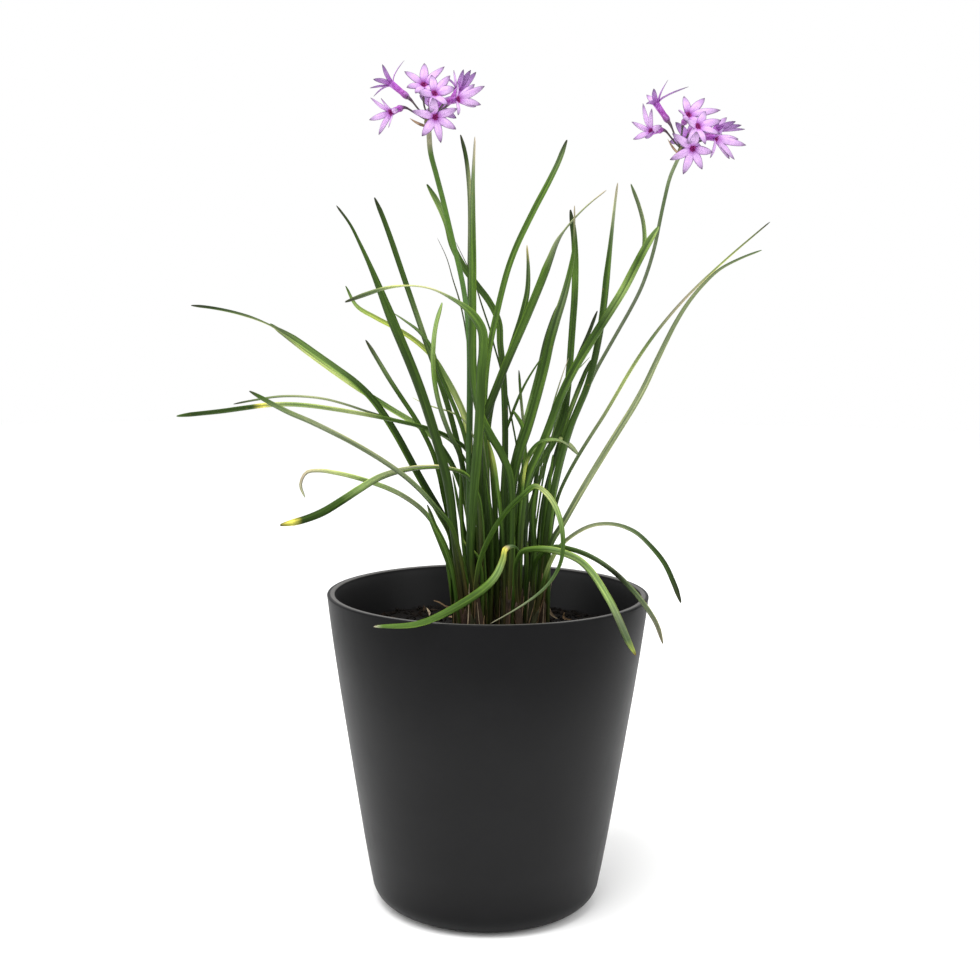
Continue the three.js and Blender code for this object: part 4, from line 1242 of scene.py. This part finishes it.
def bent(start, middle, end, steps):
    """Points of a curve from start to end that leaves towards middle and arrives from it."""
    t = np.linspace(0, 1, steps + 1)[:, None]
    return (1 - t) ** 2 * start + 2 * t * (1 - t) * middle + t * t * end


def tepal_tip(seen, side, mouth, axis, rise):
    """The place on the line of sight to a tepal's tip that gives it full length and its flower's spread."""
    steps = np.linspace(-1, 1, 101) * 1.05 * TEPAL_LENGTH
    spots = [along_sight(seen, mouth[1] + step) for step in steps if step * side >= 0]

    def misfit(spot):
        span = spot - mouth
        return (np.linalg.norm(span) - TEPAL_LENGTH) ** 2 + 0.6 * (span @ axis - rise) ** 2

    return min(spots, key=misfit)


def make_tepal(shape, mouth, axis, tip, breadth, dice):
    """An oblong tepal, narrow where it leaves the tube, that curves out and ends in a short point."""
    span = tip - mouth
    out = unit(span - axis * (span @ axis))
    root = mouth + out * 1.0 * MM - axis * 1.3 * MM
    line = bent(root, root + axis * 3.6 * MM + out * 1.4 * MM, tip, 14)
    share = np.linspace(0, 1, len(line))
    swell = np.sin(math.pi * (0.14 + 0.86 * share**1.35)) ** 0.6
    half = TEPAL_HALF_WIDTH * breadth * dice.uniform(0.88, 1.06) * np.maximum(swell, 0.06)
    ribbon(shape, line, np.cross(out, axis), half, 2, 0.22, 0.32 * MM, dice.uniform(-0.35, 0.35))


def make_floret(node, hub, slant, dice):
    """A curved stalk, an ovary, a ribbed tube with an open throat and six tepals that open from its mouth."""
    rings = rings_from(node, hub, 12)
    start, neck, foot, mouth = (ring.mean(axis=0) for ring in rings[:4])
    number = int(node[-1])
    across, up = MOUTH_SHIFTS.get(number, (0, 0))
    mouth = mouth + slant @ np.array((across, 0, up)) * MM
    axis = unit(mouth - foot)
    shape = Shape()
    sag = 0.5 * MM * dice.uniform(-1, 1)
    side = unit(np.cross(axis, (0, 0, 1.0)))
    stalk = np.array([hub, start, (start + neck) / 2 + side * sag, neck, foot])
    knots = distances(stalk)
    at = np.linspace(0, knots[-1], 16)
    thick = np.interp(at / at[-1], *STALKLET_RADII) * MM
    tube(shape, spline(knots, stalk, at), thick, STALKLET_SIDES, at / at[-1])
    tube_length = np.linalg.norm(mouth - foot)
    shares = np.linspace(TUBE_RADII[0][0], 1.0, 14)
    line = foot + axis * (shares[:, None] * tube_length)
    ribs = 1 + 0.06 * np.cos(6 * circle(TUBE_SIDES))
    rows = tube_rows(line, np.interp(shares, *TUBE_RADII) * MM, TUBE_SIDES)
    rows = line[:, None] + (rows - line[:, None]) * ribs[None, :, None]
    turns = np.linspace(0, 1, TUBE_SIDES + 1)
    shape.grid(rows, turns, (shares - shares[0]) / (1 - shares[0]), 1, capped=(True, False))
    depths = np.linspace(0, 1, 5)
    throat = mouth - axis * (depths[:, None] * THROAT_DEPTH)
    inside = tube_rows(throat, (1.6 - 0.8 * np.sqrt(depths)) * MM, TUBE_SIDES)
    inside[0] = rows[-1]
    shape.grid(inside, turns, depths, 3, capped=(False, True))
    if number in TEPAL_TIPS:
        rise = HALF_OPEN_RISE if number == HALF_OPEN_FLORET else OPEN_RISE
        seen = [(hub + slant @ np.array((x, 0, z)) * MM, side) for x, z, side in TEPAL_TIPS[number]]
        tips = [tepal_tip(place, side, mouth, axis, rise) for place, side in seen]
    else:
        star = rings[4]
        reach = np.linalg.norm(star - star.mean(axis=0), axis=1)
        tips = star[reach > reach.mean()]
    for tip in tips:
        make_tepal(shape, mouth, axis, tip, TEPAL_BREADTHS.get(number, 1), dice)
    first = unit(np.cross(axis, (0.3, 0.2, 1.0)))
    second = np.cross(axis, first)
    for turn in LOBE_TURNS:
        out = first * math.cos(turn) + second * math.sin(turn)
        lobe = mouth + out * 0.7 * MM + axis * (np.linspace(-1.2, 0.7, 6)[:, None] * MM)
        tube(shape, lobe, np.array(LOBE_RADII) * MM, LOBE_SIDES, np.linspace(0, 1, 6), 3)
    floret = shape.piece(node.replace("floret", "flower"), FLOWER_MATERIALS)
    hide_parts(node)


def make_spathe(node, hub, axis, slant, dice):
    """The knob that carries the florets, and dry bracts that hang open below them."""
    shape = Shape()
    line = np.linspace(hub - axis * 4 * MM, hub + axis * 1.6 * MM, 12)
    tube(shape, line, np.array(KNOB_RADII) * MM, TUBE_SIDES, np.linspace(0, 1, 12))
    for corners, width in BRACTS:
        start, middle, end = (hub + slant @ np.array(corner) * MM for corner in corners)
        line = bent(start, middle, end, 12)
        share = np.linspace(0, 1, len(line))
        half = width / 2 * MM * np.maximum(np.sin(math.pi * (0.25 + 0.75 * share)) ** 0.8, 0.06)
        ribbon(shape, line, np.array((0.1, 1.0, 0.5)), half, 1, 0.6, 0.25 * MM, dice.uniform(-0.6, 0.6))
    materials = [
        scape_material(node + "_knob", [(0, "#8b9378"), (0.5, "#6f6a4c"), (1, "#57462f")]),
        paper_material(node + "_paper", "#c3ab8c", "#94785a", "#4f3626"),
    ]
    spathe = shape.piece(node.replace("spathe", "bracts"), materials)
    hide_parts(node)


def make_umbel(side, stops, dice):
    top, axis = make_scape("scape_" + side, stops)
    hub = top + axis * HUB_RISE
    slant = np.array(Matrix.Rotation(math.atan2(axis[0], axis[2]), 3, "Y"))
    make_spathe("spathe_" + side, hub, axis, slant, dice)
    for node in sorted(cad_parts):
        if node.startswith("floret_" + side):
            make_floret(node, hub, slant, dice)


# Studio.


def make_floor():
    """A wide pale floor, flat and round, a hair below the pot."""
    paint = Paint("floor_pale")
    tint = paint.noise(paint.place(), 3.0, 3.0, 0.5)
    colour = paint.blend(tint, "#f7f7f6", "#fbfbfb")
    material = paint.finish(colour, paint.span(tint, 0.3, 0.7, 0.85, 0.95))
    shape = Shape()
    rows = [hoop(radius, FLOOR_HEIGHT, FLOOR_SIDES) for radius in FLOOR_RADII]
    shape.grid(rows, np.linspace(0, 1, FLOOR_SIDES + 1), FLOOR_RADII, capped=(True, False))
    mesh = bpy.data.meshes.new("floor")
    mesh.from_pydata(shape.points, [], shape.faces)
    mesh.materials.append(material)
    floor = bpy.data.objects.new("floor", mesh)
    bpy.context.scene.collection.objects.link(floor)


def make_world():
    world = bpy.data.worlds.new("studio")
    world.use_nodes = True
    background = world.node_tree.nodes["Background"]
    background.inputs["Color"].default_value = (1.0, 1.0, 1.0, 1.0)
    background.inputs["Strength"].default_value = 1.0
    bpy.context.scene.world = world


def make_light(name, place, size, watts):
    data = bpy.data.lights.new(name, "AREA")
    data.shape = "RECTANGLE"
    data.size, data.size_y = size
    data.energy = watts
    light = bpy.data.objects.new(name, data)
    light.location = place
    light.rotation_euler = (LIGHTS_AIM - Vector(place)).to_track_quat("-Z", "Y").to_euler()
    bpy.context.scene.collection.objects.link(light)


def make_camera():
    data = bpy.data.cameras.new("camera")
    data.sensor_width = SENSOR_WIDTH
    data.lens = FOCAL_PIXELS / PICTURE_PIXELS * SENSOR_WIDTH
    data.clip_start, data.clip_end = 0.02, 30
    camera = bpy.data.objects.new("camera", data)
    camera.location = EYE
    turn = Euler((math.pi / 2 - TILT_DOWN, 0, 0)).to_matrix() @ Matrix.Rotation(ROLL, 3, "Z")
    camera.rotation_euler = turn.to_euler()
    bpy.context.scene.collection.objects.link(camera)
    bpy.context.scene.camera = camera


make_camera()
make_world()
make_floor()
make_light("key", (-0.4, -0.7, 1.9), (1.2, 1.2), 30)
make_light("fill_left", (-1.3, -0.6, 0.9), (0.6, 1.0), 7)
make_light("fill_right", (1.3, -0.6, 0.9), (0.6, 1.0), 7)
bpy.context.scene.view_settings.view_transform = "Standard"

make_pot()
make_mix()
make_crumbs()
make_leaves()
make_shoots()
make_traced_leaves()
make_sheaths()
make_scraps()
flower_dice = random.Random(SEED + 1)
for side, stops in SCAPE_STOPS.items():
    make_umbel(side, stops, flower_dice)
